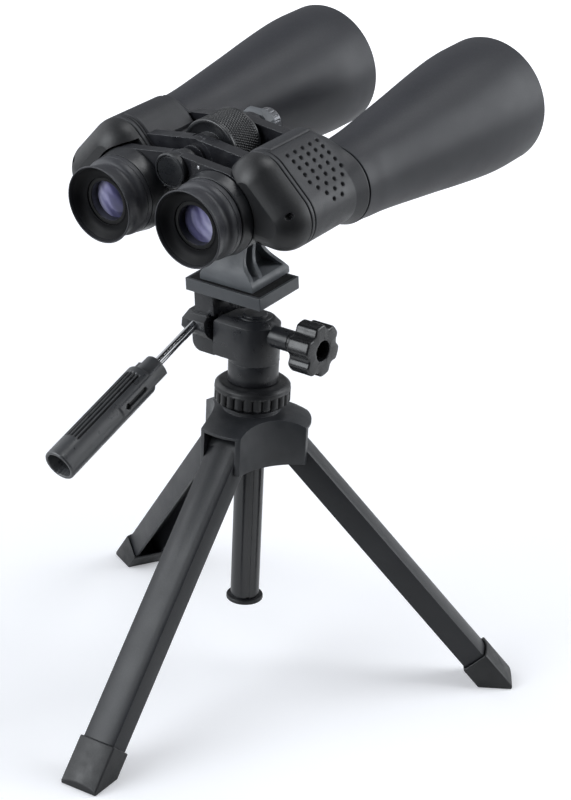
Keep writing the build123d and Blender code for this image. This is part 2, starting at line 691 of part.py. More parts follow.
# ---- tilt block: box on the tilt axis, handle socket, post up to the platform
BLOCK_LEFT, BLOCK_RIGHT = -39.2, -21.4
POST_LEFT = -36.8
POST_TOP = PLATFORM_BOTTOM - TILT_Z
with BuildPart() as tilt_block:
    with BuildSketch(back_view(-17.0)):
        with BuildLine():
            Polyline((-32.6, -17.2), (BLOCK_RIGHT, -17.2), (BLOCK_RIGHT, 10.3),
                     (BLOCK_LEFT, 10.3), (BLOCK_LEFT, -10.6))
            RadiusArc((BLOCK_LEFT, -10.6), (-32.6, -17.2), -6.6)
        make_face()
    extrude(amount=-34.0)
    # chamfered handle socket standing out of the back and the left side
    with BuildSketch(side_view(-43.6)):
        with BuildLine():
            Polyline((-21.0, -2.5), (-22.4, 1.0), (-21.2, 6.4), (-15.0, 10.6), (8.0, 10.6),
                     (8.0, 0.5), (-8.0, -6.5), (-17.0, -6.5), close=True)
        make_face()
    extrude(amount=22.0)
    with BuildSketch(back_view(-40)):
        with BuildLine():
            Polyline((-50, -6.7), (-50, 14), (-41.2, 14), (-43.9, 5.5), (-43.9, 1.5),
                     (BLOCK_LEFT, -4.8), (BLOCK_LEFT, -6.7), close=True)
        make_face()
    extrude(amount=-60, mode=Mode.SUBTRACT)
    # post
    with BuildSketch(side_view(POST_LEFT)):
        with BuildLine():
            Polyline((-15.6, 4.0), (-15.6, POST_TOP), (14.0, POST_TOP), (14.0, 4.0), close=True)
        make_face()
    extrude(amount=BLOCK_RIGHT - POST_LEFT)
    # sloping relief beside the pan body
    with BuildSketch(back_view(-40)):
        with BuildLine():
            Polyline((-26.4, 10.7), (-21.3, 10.7), (-21.3, -10.5), close=True)
        make_face()
    extrude(amount=-34.0, mode=Mode.SUBTRACT)
    # tilt shaft seat, threaded socket of the handle, platform screw holes
    drill(side_view(TILT_SHAFT_X), TILT_SHAFT_R + RUN, 20.0)
    drill(along_handle(12), ROD_R + RUN, -23.0)
    drill(deck(PLATFORM_BOTTOM + 0.5), 1.55, -14.0, *PLATFORM_SCREWS)
save(tilt_block, "tilt_block")

with BuildPart() as tilt_shaft:
    discs(side_view(TILT_SHAFT_X), TILT_SHAFT_R, 33.0 - TILT_SHAFT_X)
save(tilt_shaft, "tilt_shaft")

# ---- handle: plated rod and moulded grip on one sloping axis
with BuildPart() as handle_rod:
    discs(along_handle(-9.5), ROD_R, 9.5 + 66.0)
    chamfer(handle_rod.edges().filter_by(GeomType.CIRCLE), length=0.4)
save(handle_rod, "handle_rod")

GRIP_START, GRIP_END = 56.0, 143.0      # full-radius length, along the handle
with BuildPart() as handle_grip:
    discs(along_handle(44.0), 6.7, 9.5)
    with BuildSketch(along_handle(51.0)):
        Circle(8.4)
    with BuildSketch(along_handle(GRIP_START)):
        Circle(GRIP_R)
    loft()
    discs(along_handle(GRIP_START), GRIP_R, GRIP_END - GRIP_START)
    # long finger flutes
    with BuildSketch(along_handle(62.0)):
        with PolarLocations(GRIP_R + 0.9, 12, start_angle=15):
            Circle(1.7)
    extrude(amount=72.0, mode=Mode.SUBTRACT)
    # rod seat and the hollow open end
    drill(along_handle(40.0), ROD_R + 0.02, 26.5)
    drill(along_handle(112.0), 8.6, 32.0)
save(handle_grip, "handle_grip")

# ---- lobed lock knob on the right end of the tilt shaft
with BuildPart() as lock_knob:
    discs(knob_plane(30.4), BOSS_R, 8.4)
    with BuildSketch(knob_plane(38.6)):
        Circle(KNOB_R)
        with PolarLocations(KNOB_R + 2.6, 6, start_angle=12):
            Circle(5.6, mode=Mode.SUBTRACT)
    extrude(amount=16.4)
    chamfer(lock_knob.edges().filter_by(Axis.X, reverse=True).group_by(Axis.X)[-1], length=0.6)
    drill(knob_plane(44.5), 7.0, 12.0)
    drill(knob_plane(30.0), TILT_SHAFT_R + RUN, 4.2)
save(lock_knob, "lock_knob")

# ---- pan body: turned body with a square shoulder and the knob boss
SHOULDER_Z = 234.2
with BuildPart() as pan_body:
    discs(Plane.XY.offset(PAN_Z + 0.1), BODY_R, BODY_TOP - PAN_Z - 0.1)
    with BuildSketch(Plane.XY.offset(SHOULDER_Z)):
        with Locations((-10.5, 0)):
            Rectangle(21.0, 2 * BODY_R)
    extrude(amount=BODY_TOP - SHOULDER_Z)
    chamfer(pan_body.faces().sort_by(Axis.Z)[-1].outer_wire().edges(), length=3.8)
    discs(knob_plane(12.0), BOSS_R, 18.2)
    # raised ring with the cap seat
    discs(Plane.XY.offset(BODY_TOP - 0.5), 11.0, 1.3)
    drill(Plane.XY.offset(CAP_SEAT_Z), 8.45, 4.0)
    # bores for the tilt shaft and the spigot of the base
    drill(knob_plane(-30.0), TILT_SHAFT_R + RUN, 65.0)
    drill(Plane.XY.offset(PAN_Z - 1), PAN_SPIGOT_R + RUN, 12.9)
save(pan_body, "pan_body")

with BuildPart() as pan_cap:
    discs(Plane.XY.offset(CAP_SEAT_Z), 8.4, 3.6)
    chamfer(pan_cap.faces().sort_by(Axis.Z)[-1].edges(), length=0.9)
save(pan_cap, "pan_cap")

# ================================================================ column and tripod
with BuildPart() as pan_base:
    discs(Plane.XY.offset(COLLAR_Z1 + 0.4), 16.8, PAN_Z - 0.1 - COLLAR_Z1 - 0.4)
    discs(Plane.XY.offset(PAN_Z - 1), PAN_SPIGOT_R, 12.6)
    drill(Plane.XY.offset(COLLAR_Z1), COLUMN_R + 0.02, SOCKET_DEEP)
save(pan_base, "pan_base")

with BuildPart() as column:
    with BuildSketch(Plane.XY.offset(COLUMN_Z)):
        Circle(COLUMN_R)
        Circle(COLUMN_BORE_R, mode=Mode.SUBTRACT)
    extrude(amount=COLLAR_Z1 + SOCKET_DEEP - COLUMN_Z)
    # shallow guide grooves down the tube
    with BuildSketch(Plane.XY.offset(COLUMN_Z)):
        with PolarLocations(COLUMN_R + 0.1, 3, start_angle=-40):
            Rectangle(1.4, 2.2)
    extrude(amount=COLLAR_Z0 - 12 - COLUMN_Z, mode=Mode.SUBTRACT)
save(column, "column")

with BuildPart() as column_end_cap:
    discs(Plane.XY.offset(54.5), 12.6, 3.0)
    fillet(column_end_cap.edges(), radius=0.8)
    # plug inside the tube
    discs(Plane.XY.offset(57.0), COLUMN_BORE_R - RUN, 9.0)
save(column_end_cap, "column_end_cap")

with BuildPart() as lock_collar:
    with BuildSketch(Plane.XZ):
        with BuildLine():
            # radius, height
            Polyline((COLUMN_R + RUN, 200.2), (19.6, 200.2), (24.0, COLLAR_Z0),
                     (COLLAR_R, COLLAR_Z0 + 0.8), (COLLAR_R, COLLAR_Z1 - 2.4),
                     (COLLAR_R - 2.2, COLLAR_Z1 - 0.4), (COLLAR_R - 4.0, COLLAR_Z1),
                     (COLUMN_R + RUN, COLLAR_Z1), close=True)
        make_face()
    revolve(axis=Axis.Z)
    # finger flutes
    with BuildSketch(Plane.XY.offset(200.0)):
        with PolarLocations(COLLAR_R + 1.0, 20):
            Circle(2.3)
    extrude(amount=COLLAR_Z1 - 200.0 - 2.6, mode=Mode.SUBTRACT)
save(lock_collar, "lock_collar")

# ---- crown: three slotted arms with hollow panels between them
SLOT_WIDTH = 2 * (LEG_HALF + 0.35)
SLOT_LENGTH = 33.0
SLOT_Z = 160.0
with BuildPart() as crown:
    with BuildSketch(Plane.XY.offset(164.0)):
        Circle(CROWN_R)
        with PolarLocations(PANEL_RING_R, 3, start_angle=LEG_AZ[0] + 60):
            Circle(46.7, mode=Mode.SUBTRACT)
    extrude(amount=35.0)
    # domed roof
    with BuildSketch(Plane.XZ):
        with BuildLine():
            Line((0, 160), (0, 198.0))
            Line((0, 198.0), (17.5, 197.4))
            ThreePointArc((17.5, 197.4), (31.0, 195.0), (40.5, 190.2))
            Polyline((40.5, 190.2), (40.5, 160), (0, 160))
        make_face()
    revolve(axis=Axis.Z, mode=Mode.INTERSECT)
    # neck ring above and guide sleeve below, bored for the column
    discs(Plane.XY.offset(190.0), 19.2, 9.9)
    discs(Plane.XY.offset(160.0), SLEEVE_R, 25.0)
    drill(Plane.XY.offset(155.0), COLUMN_R + RUN, 50.0)
    # the body is hollow below between the sleeve and the panels
    with BuildSketch(Plane.XY.offset(163.0)):
        Circle(24.5)
        with PolarLocations(PANEL_RING_R, 3, start_angle=LEG_AZ[0] + 60):
            Circle(49.6, mode=Mode.SUBTRACT)
        Circle(SLEEVE_R, mode=Mode.SUBTRACT)
    extrude(amount=12.0, mode=Mode.SUBTRACT)
    for azimuth in LEG_AZ:
        radial, lateral = leg_directions(azimuth)
        # slot for the leg head, open at the end and below
        with BuildSketch(Plane(origin=radial * 15.9 + Vector(0, 0, SLOT_Z), x_dir=radial,
                               z_dir=(0, 0, 1))):
            with Locations((SLOT_LENGTH / 2, 0)):
                Rectangle(SLOT_LENGTH, SLOT_WIDTH)
        extrude(amount=28.9, mode=Mode.SUBTRACT)
        # the outer wall is open above the pivot so that the leg can swing out
        with BuildSketch(Plane(origin=radial * 36.5 + Vector(0, 0, SLOT_Z), x_dir=radial,
                               z_dir=(0, 0, 1))):
            with Locations((5.0, 0)):
                Rectangle(10.0, SLOT_WIDTH)
        extrude(amount=26.8, mode=Mode.SUBTRACT)
        # pin bore
        drill(pin_plane(azimuth, 14.4), PIN_R + RUN, 28.8)
save(crown, "crown")

# ---- hinge pins of the legs
with BuildPart() as leg_pins:
    for azimuth in LEG_AZ:
        discs(pin_plane(azimuth, 14.3), PIN_R, 28.6)
save(leg_pins, "leg_pins")


# ---- legs and foot caps
def tripod_leg(number, azimuth):
    """Crowned channel, open on the inner side, with a rounded head on its pin."""
    inner = LEG_HALF - LEG_WALL
    edge = LEG_DEEP - CROWNED
    with BuildPart() as leg:
        with BuildSketch(along_leg(azimuth, 0)):
            with BuildLine():
                Polyline((-LEG_HALF, edge), (-LEG_HALF, -LEG_DEEP), (-inner, -LEG_DEEP),
                         (-inner, LEG_DEEP - 3.7), (0, LEG_DEEP - 2.6), (inner, LEG_DEEP - 3.7),
                         (inner, -LEG_DEEP), (LEG_HALF, -LEG_DEEP), (LEG_HALF, edge))
                ThreePointArc((LEG_HALF, edge), (0, LEG_DEEP), (-LEG_HALF, edge))
            make_face()
        extrude(amount=220.0)
        discs(pin_plane(azimuth, LEG_HALF), LEG_DEEP, 2 * LEG_HALF)
        drill(pin_plane(azimuth, LEG_HALF + 1), PIN_R + RUN, 2 * LEG_HALF + 2)
    save(leg, f"leg_{number}")


def foot_cap(number, azimuth):
    """Foot cap over the leg end, crowned side outwards."""
    radial, lateral = leg_directions(azimuth)
    edge = FOOT_DEEP - CROWNED
    socket_half = LEG_HALF + RUN
    socket_deep = LEG_DEEP + RUN
    socket_edge = socket_deep - CROWNED
    with BuildPart() as foot:
        with BuildSketch(along_leg(azimuth, 208.0)):
            with BuildLine():
                Polyline((-FOOT_HALF, edge), (-FOOT_HALF, -FOOT_DEEP),
                         (FOOT_HALF, -FOOT_DEEP), (FOOT_HALF, edge))
                ThreePointArc((FOOT_HALF, edge), (0, FOOT_DEEP), (-FOOT_HALF, edge))
            make_face()
        extrude(amount=48.0)
        # socket for the channel
        with BuildSketch(along_leg(azimuth, 207.0)):
            with BuildLine():
                Polyline((-socket_half, socket_edge), (-socket_half, -socket_deep),
                         (socket_half, -socket_deep), (socket_half, socket_edge))
                ThreePointArc((socket_half, socket_edge), (0, socket_deep),
                              (-socket_half, socket_edge))
            make_face()
        extrude(amount=13.05, mode=Mode.SUBTRACT)
        # flat sole on the table, square toe
        drill(Plane.XY, 400, -80)
        with BuildSketch(Plane(origin=radial * 188.6, x_dir=lateral, z_dir=radial)):
            Rectangle(80, 80)
        extrude(amount=30, mode=Mode.SUBTRACT)
    save(foot, f"foot_{number}")


for number, azimuth in enumerate(LEG_AZ, start=1):
    tripod_leg(number, azimuth)
    foot_cap(number, azimuth)
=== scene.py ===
"""Binoculars on a small table tripod with a pan and tilt head.

The world is in metres, +Z up, with the tripod column standing on the table plane. The tilting
group has its own frame: x to the right, y from the eyepieces towards the objectives, z up
through the hinge. Sizes are in millimetres unless a name or comment says otherwise.
"""
import json
import math

import bmesh
import bpy
import numpy as np
from mathutils import Matrix, Vector


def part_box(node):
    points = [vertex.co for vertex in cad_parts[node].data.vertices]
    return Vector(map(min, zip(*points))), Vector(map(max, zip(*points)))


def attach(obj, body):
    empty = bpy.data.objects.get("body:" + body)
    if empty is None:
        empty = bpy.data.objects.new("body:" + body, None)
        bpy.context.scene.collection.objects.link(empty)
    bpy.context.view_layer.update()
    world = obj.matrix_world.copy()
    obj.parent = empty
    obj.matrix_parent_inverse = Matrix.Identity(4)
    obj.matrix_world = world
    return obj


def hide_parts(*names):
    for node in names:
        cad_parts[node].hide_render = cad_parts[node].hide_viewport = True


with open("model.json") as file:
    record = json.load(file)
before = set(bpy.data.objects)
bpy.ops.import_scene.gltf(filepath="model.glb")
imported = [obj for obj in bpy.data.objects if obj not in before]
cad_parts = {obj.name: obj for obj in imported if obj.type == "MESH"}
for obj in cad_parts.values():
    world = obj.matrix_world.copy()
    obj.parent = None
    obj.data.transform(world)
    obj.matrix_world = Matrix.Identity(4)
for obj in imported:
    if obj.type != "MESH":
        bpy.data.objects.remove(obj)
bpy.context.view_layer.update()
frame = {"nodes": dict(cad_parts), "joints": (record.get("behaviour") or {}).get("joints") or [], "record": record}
nodes = frame["nodes"]
record = frame["record"]
scene = bpy.context.scene
MM = 0.001
TAU = 2 * math.pi
JOINT = {joint["name"]: joint for joint in frame["joints"]}
SLOT = {part["node"]: part["material_slot"] for part in record["subparts"]}
NODE_BODY = {node: body for body, members in record["behaviour"]["bodies"].items()
             for node in members}
HALVES = ((1, "right"), (-1, "left"))      # sign of x, name
EYE_BODY = {"right": "right_ocular", "left": "left_arm"}


def joint_place(name):
    return Vector(JOINT[name]["pos_m"])


def joint_axis(name):
    return Vector(JOINT[name]["axis"]).normalized()


# ------------------------------------------------------------------ frame of the tilting group
HINGE_Z = 20.3
FOCUS_JOINT_Y = 77
EX = Vector((1, 0, 0))
EY = joint_axis("focus_turn")
EZ = EX.cross(EY)
UP = Vector((0, 0, 1))
ORIGIN = joint_place("focus_turn") - EY * FOCUS_JOINT_Y * MM - EZ * HINGE_Z * MM
ring_low, ring_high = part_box("right_objective_ring")
OBJECTIVE_X = ((ring_low + ring_high) / 2 - ORIGIN).x / MM
EYE_X = (joint_place("dioptre_turn") - ORIGIN).x / MM
TILT = joint_place("tilt_nod")
BASE = Vector((*JOINT["pan_turn"]["pos_m"][:2], 0))      # column axis on the table


def bino(x, y, z):
    """World place of a point in the tilting group's frame."""
    return ORIGIN + (EX * x + EY * y + EZ * z) * MM


# ------------------------------------------------------------------ shader graph helper
class Graph:
    """An emptied node tree to fill. Inputs given as sockets are linked, others are set."""

    def __init__(self, owner):
        owner.use_nodes = True
        self.tree = owner.node_tree
        self.tree.nodes.clear()

    def add(self, kind, inputs=(), **settings):
        node = self.tree.nodes.new("ShaderNode" + kind)
        for key, value in settings.items():
            setattr(node, key, value)
        for key, value in dict(inputs).items():
            socket = node.inputs[key]
            if isinstance(value, bpy.types.NodeSocket):
                self.tree.links.new(value, socket)
            else:
                socket.default_value = (*value, 1) if socket.type == "RGBA" else value
        return node

    def math(self, operation, *values, clamp=False):
        node = self.add("Math", enumerate(values), operation=operation, use_clamp=clamp)
        return node.outputs[0]

    def remap(self, value, span, to=(0, 1), smooth=False):
        node = self.add("MapRange", {"From Min": span[0], "From Max": span[1],
                                     "To Min": to[0], "To Max": to[1], "Value": value},
                        interpolation_type="SMOOTHSTEP" if smooth else "LINEAR")
        return node.outputs[0]

    def mix(self, factor, first, second):
        return self.add("Mix", {0: factor, 6: first, 7: second}, data_type="RGBA").outputs[2]

    def noise(self, vector, scale, detail):
        node = self.add("TexNoise", {"Scale": scale, "Detail": detail, "Vector": vector})
        return node.outputs["Fac"]

    def dot(self, first, second):
        node = self.add("VectorMath", {0: first, 1: second}, operation="DOT_PRODUCT")
        return node.outputs["Value"]


# ------------------------------------------------------------------ materials
DUST_COLOUR = (0.30, 0.31, 0.32)
# near-black colour of the painted shade laid into recesses
PAINTED_SHADE_COLOUR = (0.0015, 0.0015, 0.002)


def material(name, base, rough, metal=0.0, grain=0.25, grain_mm=0.5, coarse=0.0, coarse_mm=3.0,
             mottle=0.25, mottle_mm=18.0, wear=0.35, wear_colour=(0.22, 0.23, 0.25),
             edge_mm=0.35, rough_var=0.10, spec=0.5, dust=0.04, painted_shade=0.0):
    """A finish with mottled colour, moulded grain, soft worn edges and faint dust.

    grain, coarse and mottle are strengths, with their feature sizes in the _mm arguments;
    edge_mm is the edge radius; the painted-shade strength darkens the colour into painted shade where the mesh's
    recess attribute is high.
    """
    mat = bpy.data.materials.new(name)
    graph = Graph(mat)
    place = graph.add("TexCoord").outputs["Object"]

    def noise(size_mm, detail):
        return graph.noise(place, scale=1.0 / (size_mm * MM), detail=detail)

    slow = noise(mottle_mm, detail=4.0)
    fine = noise(mottle_mm / 7.0, detail=3.0)
    dark = tuple(c * (1 - mottle) for c in base)
    light = tuple(min(1, c * (1 + mottle) + 0.002) for c in base)
    colour = graph.mix(graph.remap(slow, span=(0.3, 0.7)), dark, light)
    to_base = graph.math("MULTIPLY", graph.remap(fine, span=(0.35, 0.75)), 0.25)
    colour = graph.mix(to_base, colour, base)
    # the softened edge normal gives both the highlight and the wear mask
    soft_normal = graph.add("Bevel", {"Radius": edge_mm * MM}, samples=4).outputs[0]
    normal = graph.add("NewGeometry").outputs["Normal"]
    edge = graph.remap(graph.dot(soft_normal, normal), span=(0.90, 0.995), to=(1, 0))
    patches = graph.remap(noise(2.2, detail=4.0), span=(0.35, 0.65), to=(0.25, 1.0))
    edge = graph.math("MULTIPLY", edge, patches)
    edge = graph.math("MULTIPLY", edge, wear, clamp=True)
    colour = graph.mix(edge, colour, wear_colour)
    # dust lies where a surface looks up
    upward = graph.add("SeparateXYZ", {0: normal}).outputs["Z"]
    dusty = graph.math("MULTIPLY", graph.remap(upward, span=(0.2, 1.0)),
                       graph.remap(noise(1.1, detail=5.0), span=(0.45, 0.75)))
    colour = graph.mix(graph.math("MULTIPLY", dusty, dust), colour, DUST_COLOUR)
    # painted shade: recesses are darkened towards a near-black colour, standing in for the shade that falls in
    # them
    if painted_shade:
        recess_shade = graph.add("Attribute", attribute_name="recess_shade").outputs["Fac"]
        depth = graph.math("MULTIPLY", recess_shade, painted_shade, clamp=True)
        colour = graph.mix(depth, colour, PAINTED_SHADE_COLOUR)
    roughness = graph.remap(noise(mottle_mm / 2.5, detail=4.0), span=(0.3, 0.7),
                            to=(rough - rough_var, rough + rough_var))
    polish = graph.math("MULTIPLY", edge, -0.12)       # worn edges are smoother
    roughness = graph.math("ADD", roughness, polish, clamp=True)
    height = noise(grain_mm, detail=2.0)
    if coarse:
        swell = graph.math("MULTIPLY", noise(coarse_mm, detail=3.0), coarse)
        height = graph.math("ADD", height, swell)
    bump = graph.add("Bump", {"Strength": grain, "Distance": 0.00012, "Height": height,
                              "Normal": soft_normal})
    shader = graph.add("BsdfPrincipled", {
        "Base Color": colour, "Roughness": roughness, "Metallic": metal,
        "Specular IOR Level": spec, "Normal": bump.outputs[0]})
    # the painted shade also dims the specular level in the recesses
    if painted_shade:
        dulled = graph.remap(recess_shade, span=(0.0, 1.0), to=(spec, spec * 0.25))
        graph.tree.links.new(dulled, shader.inputs["Specular IOR Level"])
    graph.add("OutputMaterial", {0: shader.outputs[0]})
    return mat


def ghost_level(graph, place):
    """Reflections in the eye lenses: a pale sweep across each, broken by streaks."""
    across = graph.add("SeparateXYZ", {0: place}).outputs["X"]
    from_hinge = graph.math("MULTIPLY_ADD", across, 1.0, -ORIGIN.x)
    side = graph.math("SUBTRACT", graph.math("ABSOLUTE", from_hinge), EYE_X * MM)
    streaks = graph.add("TexWave", {"Scale": 70, "Distortion": 5.0, "Detail": 3,
                                    "Vector": place}, bands_direction="DIAGONAL")
    sweep = graph.remap(side, span=(-0.009, 0.009))     # metres either side of the lens axis
    streak_gain, level_drop = 0.22, 0.10
    level = graph.math("MULTIPLY_ADD", streaks.outputs["Fac"], streak_gain, sweep)
    return graph.math("SUBTRACT", level, level_drop, clamp=True)


def cloud_level(graph, place):
    """Slow faint clouds, so that a large objective looks dark and deep."""
    return graph.remap(graph.noise(place, scale=22, detail=1), span=(0.3, 0.7), to=(0, 0.3))


def glass_material(name, tint, deep, level):
    """Coated glass seen from outside: dark depth, a tinted reflection and faint smears.

    level makes the socket that picks a colour between deep and the pale reflection.
    """
    mat = bpy.data.materials.new(name)
    graph = Graph(mat)
    place = graph.add("TexCoord").outputs["Object"]
    facing = graph.add("LayerWeight", {"Blend": 0.35}).outputs["Facing"]
    smears = graph.noise(place, scale=160, detail=4)
    ramp = graph.add("ValToRGB", {0: level(graph, place)})
    stops = ramp.color_ramp.elements
    stops[0].position, stops[0].color = 0.0, (*deep, 1)
    stops[1].position, stops[1].color = 1.0, (0.52, 0.53, 0.62, 1)
    stops.new(0.45).color = (0.06, 0.058, 0.12, 1)
    stops.new(0.72).color = (0.25, 0.25, 0.36, 1)
    colour = graph.mix(facing, ramp.outputs[0], tuple(c * 0.25 for c in tint))
    roughness = graph.remap(smears, span=(0.4, 0.8), to=(0.03, 0.09))
    bump = graph.add("Bump", {"Strength": 0.02, "Distance": 0.0002, "Height": smears})
    shader = graph.add("BsdfPrincipled", {
        "Base Color": colour, "Roughness": roughness, "IOR": 1.5, "Specular IOR Level": 0.5,
        "Specular Tint": tint, "Coat Weight": 0.5, "Coat Tint": (0.75, 0.7, 1.0),
        "Coat Roughness": 0.02, "Normal": bump.outputs[0]})
    graph.add("OutputMaterial", {0: shader.outputs[0]})
    return mat


MATERIAL = {
    "barrel": material("barrel_coat", base=(0.024, 0.025, 0.031), rough=0.47, grain=0.22,
                       grain_mm=0.35, mottle=0.06, wear=0.2, edge_mm=0.3, rough_var=0.03,
                       mottle_mm=40, spec=0.45),
    "armour": material("armour_rubber", base=(0.021, 0.022, 0.026), rough=0.46, grain=0.5,
                       grain_mm=0.32, coarse=0.3, coarse_mm=1.2, mottle=0.10, wear=0.12,
                       rough_var=0.05, spec=0.52, painted_shade=0.85),
    "cover": material("cover_shell", base=(0.012, 0.0125, 0.014), rough=0.42, grain=0.3,
                      grain_mm=0.3, mottle=0.10, wear=0.22, rough_var=0.05),
    "casting": material("body_casting", base=(0.014, 0.0145, 0.018), rough=0.36, grain=0.35,
                        grain_mm=0.4, wear=0.7, wear_colour=(0.24, 0.25, 0.27), edge_mm=0.45,
                        spec=0.55),
    "eyecup": material("eyecup_rubber", base=(0.032, 0.033, 0.039), rough=0.42, grain=0.4,
                       grain_mm=0.3, mottle=0.12, wear=0.10, rough_var=0.06, painted_shade=0.93),
    "ocular": material("ocular_anodised", base=(0.016, 0.017, 0.020), rough=0.36,
                       grain_mm=0.25, spec=0.55),
    "wheel": material("wheel_knurl", base=(0.016, 0.017, 0.019), rough=0.30, grain=0.2,
                      grain_mm=0.3, wear=0.5, wear_colour=(0.28, 0.29, 0.31), spec=0.65,
                      painted_shade=0.7),
    "hub": material("hub_satin", base=(0.013, 0.014, 0.016), rough=0.32, grain_mm=0.4,
                    spec=0.55),
    "ring": material("retaining_ring", base=(0.010, 0.0105, 0.012), rough=0.35, grain=0.3,
                     grain_mm=0.3),
    # near-black ring material: painted shade on the ocular's end face inside the eyecup
    "shade_black": material("painted_shade_black", base=(0.0035, 0.0035, 0.004), rough=0.45, grain=0.3,
                      grain_mm=0.25, wear=0.1, wear_colour=(0.05, 0.05, 0.055), spec=0.25,
                      dust=0.0),
    "steel": material("ground_steel", base=(0.50, 0.51, 0.53), rough=0.28, metal=1.0,
                      grain=0.3, grain_mm=0.2, wear=0.2, wear_colour=(0.8, 0.8, 0.82),
                      dust=0.02),
    "screw": material("small_screws", base=(0.05, 0.05, 0.055), rough=0.32, metal=0.9,
                      grain=0.3, grain_mm=0.2, wear=0.5, wear_colour=(0.4, 0.4, 0.42),
                      dust=0.02),
    "bright_screw": material("bright_screw", base=(0.62, 0.62, 0.64), rough=0.22, metal=1.0,
                             grain=0.2, grain_mm=0.2, wear=0.2, dust=0.0),
    "adapter": material("adapter_casting", base=(0.105, 0.114, 0.125), rough=0.42, grain=0.5,
                        grain_mm=0.45, coarse=0.5, coarse_mm=2.0, mottle=0.12, wear=0.5,
                        wear_colour=(0.26, 0.28, 0.30), edge_mm=0.5, spec=0.6),
    "bolt": material("bolt_knob", base=(0.16, 0.163, 0.175), rough=0.34, metal=0.6,
                     grain=0.35, grain_mm=0.3, wear=0.4, wear_colour=(0.4, 0.4, 0.42)),
    "head": material("head_plastic", base=(0.012, 0.013, 0.016), rough=0.33, grain=0.3,
                     grain_mm=0.45, coarse=0.1, coarse_mm=1.6, mottle=0.12, edge_mm=0.4,
                     spec=0.6),
    "plate": material("platform_plate", base=(0.055, 0.060, 0.067), rough=0.38, grain=0.45,
                      grain_mm=0.45, coarse=0.3, coarse_mm=1.6, mottle=0.12, wear=0.4,
                      spec=0.6),
    "pad": material("pad_rubber", base=(0.008, 0.008, 0.009), rough=0.65, grain=0.6,
                    grain_mm=0.4, wear=0.1, spec=0.3),
    "thumb": material("thumb_wheel", base=(0.011, 0.0115, 0.013), rough=0.40, grain=0.4,
                      grain_mm=0.4, wear=0.25),
    "chrome": material("rod_chrome", base=(0.80, 0.81, 0.83), rough=0.07, metal=1.0,
                       grain=0.04, grain_mm=1.2, mottle=0.02, wear=0.05,
                       wear_colour=(0.9, 0.9, 0.9), rough_var=0.02, dust=0.0),
    "grip": material("grip_plastic", base=(0.046, 0.048, 0.052), rough=0.33, grain=0.15,
                     grain_mm=0.6, mottle=0.12, wear=0.2, wear_colour=(0.15, 0.155, 0.165),
                     spec=0.8, painted_shade=0.8),
    "knob": material("knob_plastic", base=(0.012, 0.0125, 0.014), rough=0.25,
                     wear_colour=(0.2, 0.2, 0.22), spec=0.6, painted_shade=0.9),
    "collar": material("collar_plastic", base=(0.011, 0.0115, 0.013), rough=0.36, grain=0.35,
                       grain_mm=0.4, wear=0.3, painted_shade=0.8),
    "crown": material("crown_plastic", base=(0.028, 0.030, 0.034), rough=0.38, grain=0.45,
                      grain_mm=0.45, coarse=0.3, coarse_mm=1.8, mottle=0.12, edge_mm=0.5,
                      spec=0.55),
    "column": material("column_tube", base=(0.012, 0.0125, 0.015), rough=0.22, grain=0.05,
                       grain_mm=0.8, mottle=0.05, wear=0.3, rough_var=0.03, spec=0.75),
    "leg": material("leg_coat", base=(0.014, 0.015, 0.018), rough=0.38, grain=0.35,
                    grain_mm=0.4, coarse=0.2, coarse_mm=1.4, mottle=0.08, mottle_mm=40,
                    wear=0.45, edge_mm=0.5, rough_var=0.04, spec=0.42),
    "foot": material("foot_rubber", base=(0.010, 0.0105, 0.012), rough=0.44, grain=0.5,
                     coarse=0.4, coarse_mm=1.5, mottle=0.15, wear=0.3, edge_mm=0.6),
    "lens": glass_material("coated_glass", tint=(0.62, 0.64, 0.95),
                           deep=(0.006, 0.006, 0.014), level=ghost_level),
    "objective": glass_material("coated_objective", tint=(0.55, 0.55, 0.95),
                                deep=(0.008, 0.008, 0.02), level=cloud_level),
    "prism": glass_material("prism_glass", tint=(0.85, 0.9, 1.0),
                            deep=(0.05, 0.055, 0.06), level=ghost_level),
}

NODE_MATERIAL = {
    "dioptre_ring": "ocular", "hinge_shaft": "casting", "focus_wheel": "wheel",
    "bridge_hub": "hub", "bridge_cap": "hub", "focus_screw": "steel",
    "adapter_bracket": "adapter", "adapter_bolt": "bolt", "platform": "plate",
    "platform_pad": "pad", "platform_screws": "screw", "camera_screw": "thumb",
    "tilt_block": "head", "tilt_shaft": "steel", "handle_rod": "chrome",
    "handle_grip": "grip", "lock_knob": "knob", "pan_body": "head", "pan_cap": "head",
    "pan_base": "head", "column": "column", "column_end_cap": "foot",
    "lock_collar": "collar", "crown": "crown", "leg_pins": "steel",
}
HALF_MATERIAL = {
    "objective_barrel": "barrel", "objective_lens": "objective", "objective_ring": "ring",
    "prism_housing": "casting", "armour": "armour", "rear_cover": "cover",
    "cover_screws": "screw", "prisms": "prism", "prism_shelf": "casting",
    "eyepiece_arm": "casting", "ocular": "ocular", "eye_lenses": "lens", "eyecup": "eyecup",
}
for _, half in HALVES:
    NODE_MATERIAL.update({f"{half}_{part}": mat for part, mat in HALF_MATERIAL.items()})
for k in (1, 2, 3):
    NODE_MATERIAL[f"leg_{k}"] = "leg"
    NODE_MATERIAL[f"foot_{k}"] = "foot"


def dress_nodes():
    """Give every CAD node its finish in all of its slots."""
    for name, ob in nodes.items():
        mat = MATERIAL[NODE_MATERIAL[name]]
        if not ob.data.materials:
            ob.data.materials.append(mat)
        for k in range(len(ob.data.materials)):
            ob.data.materials[k] = mat


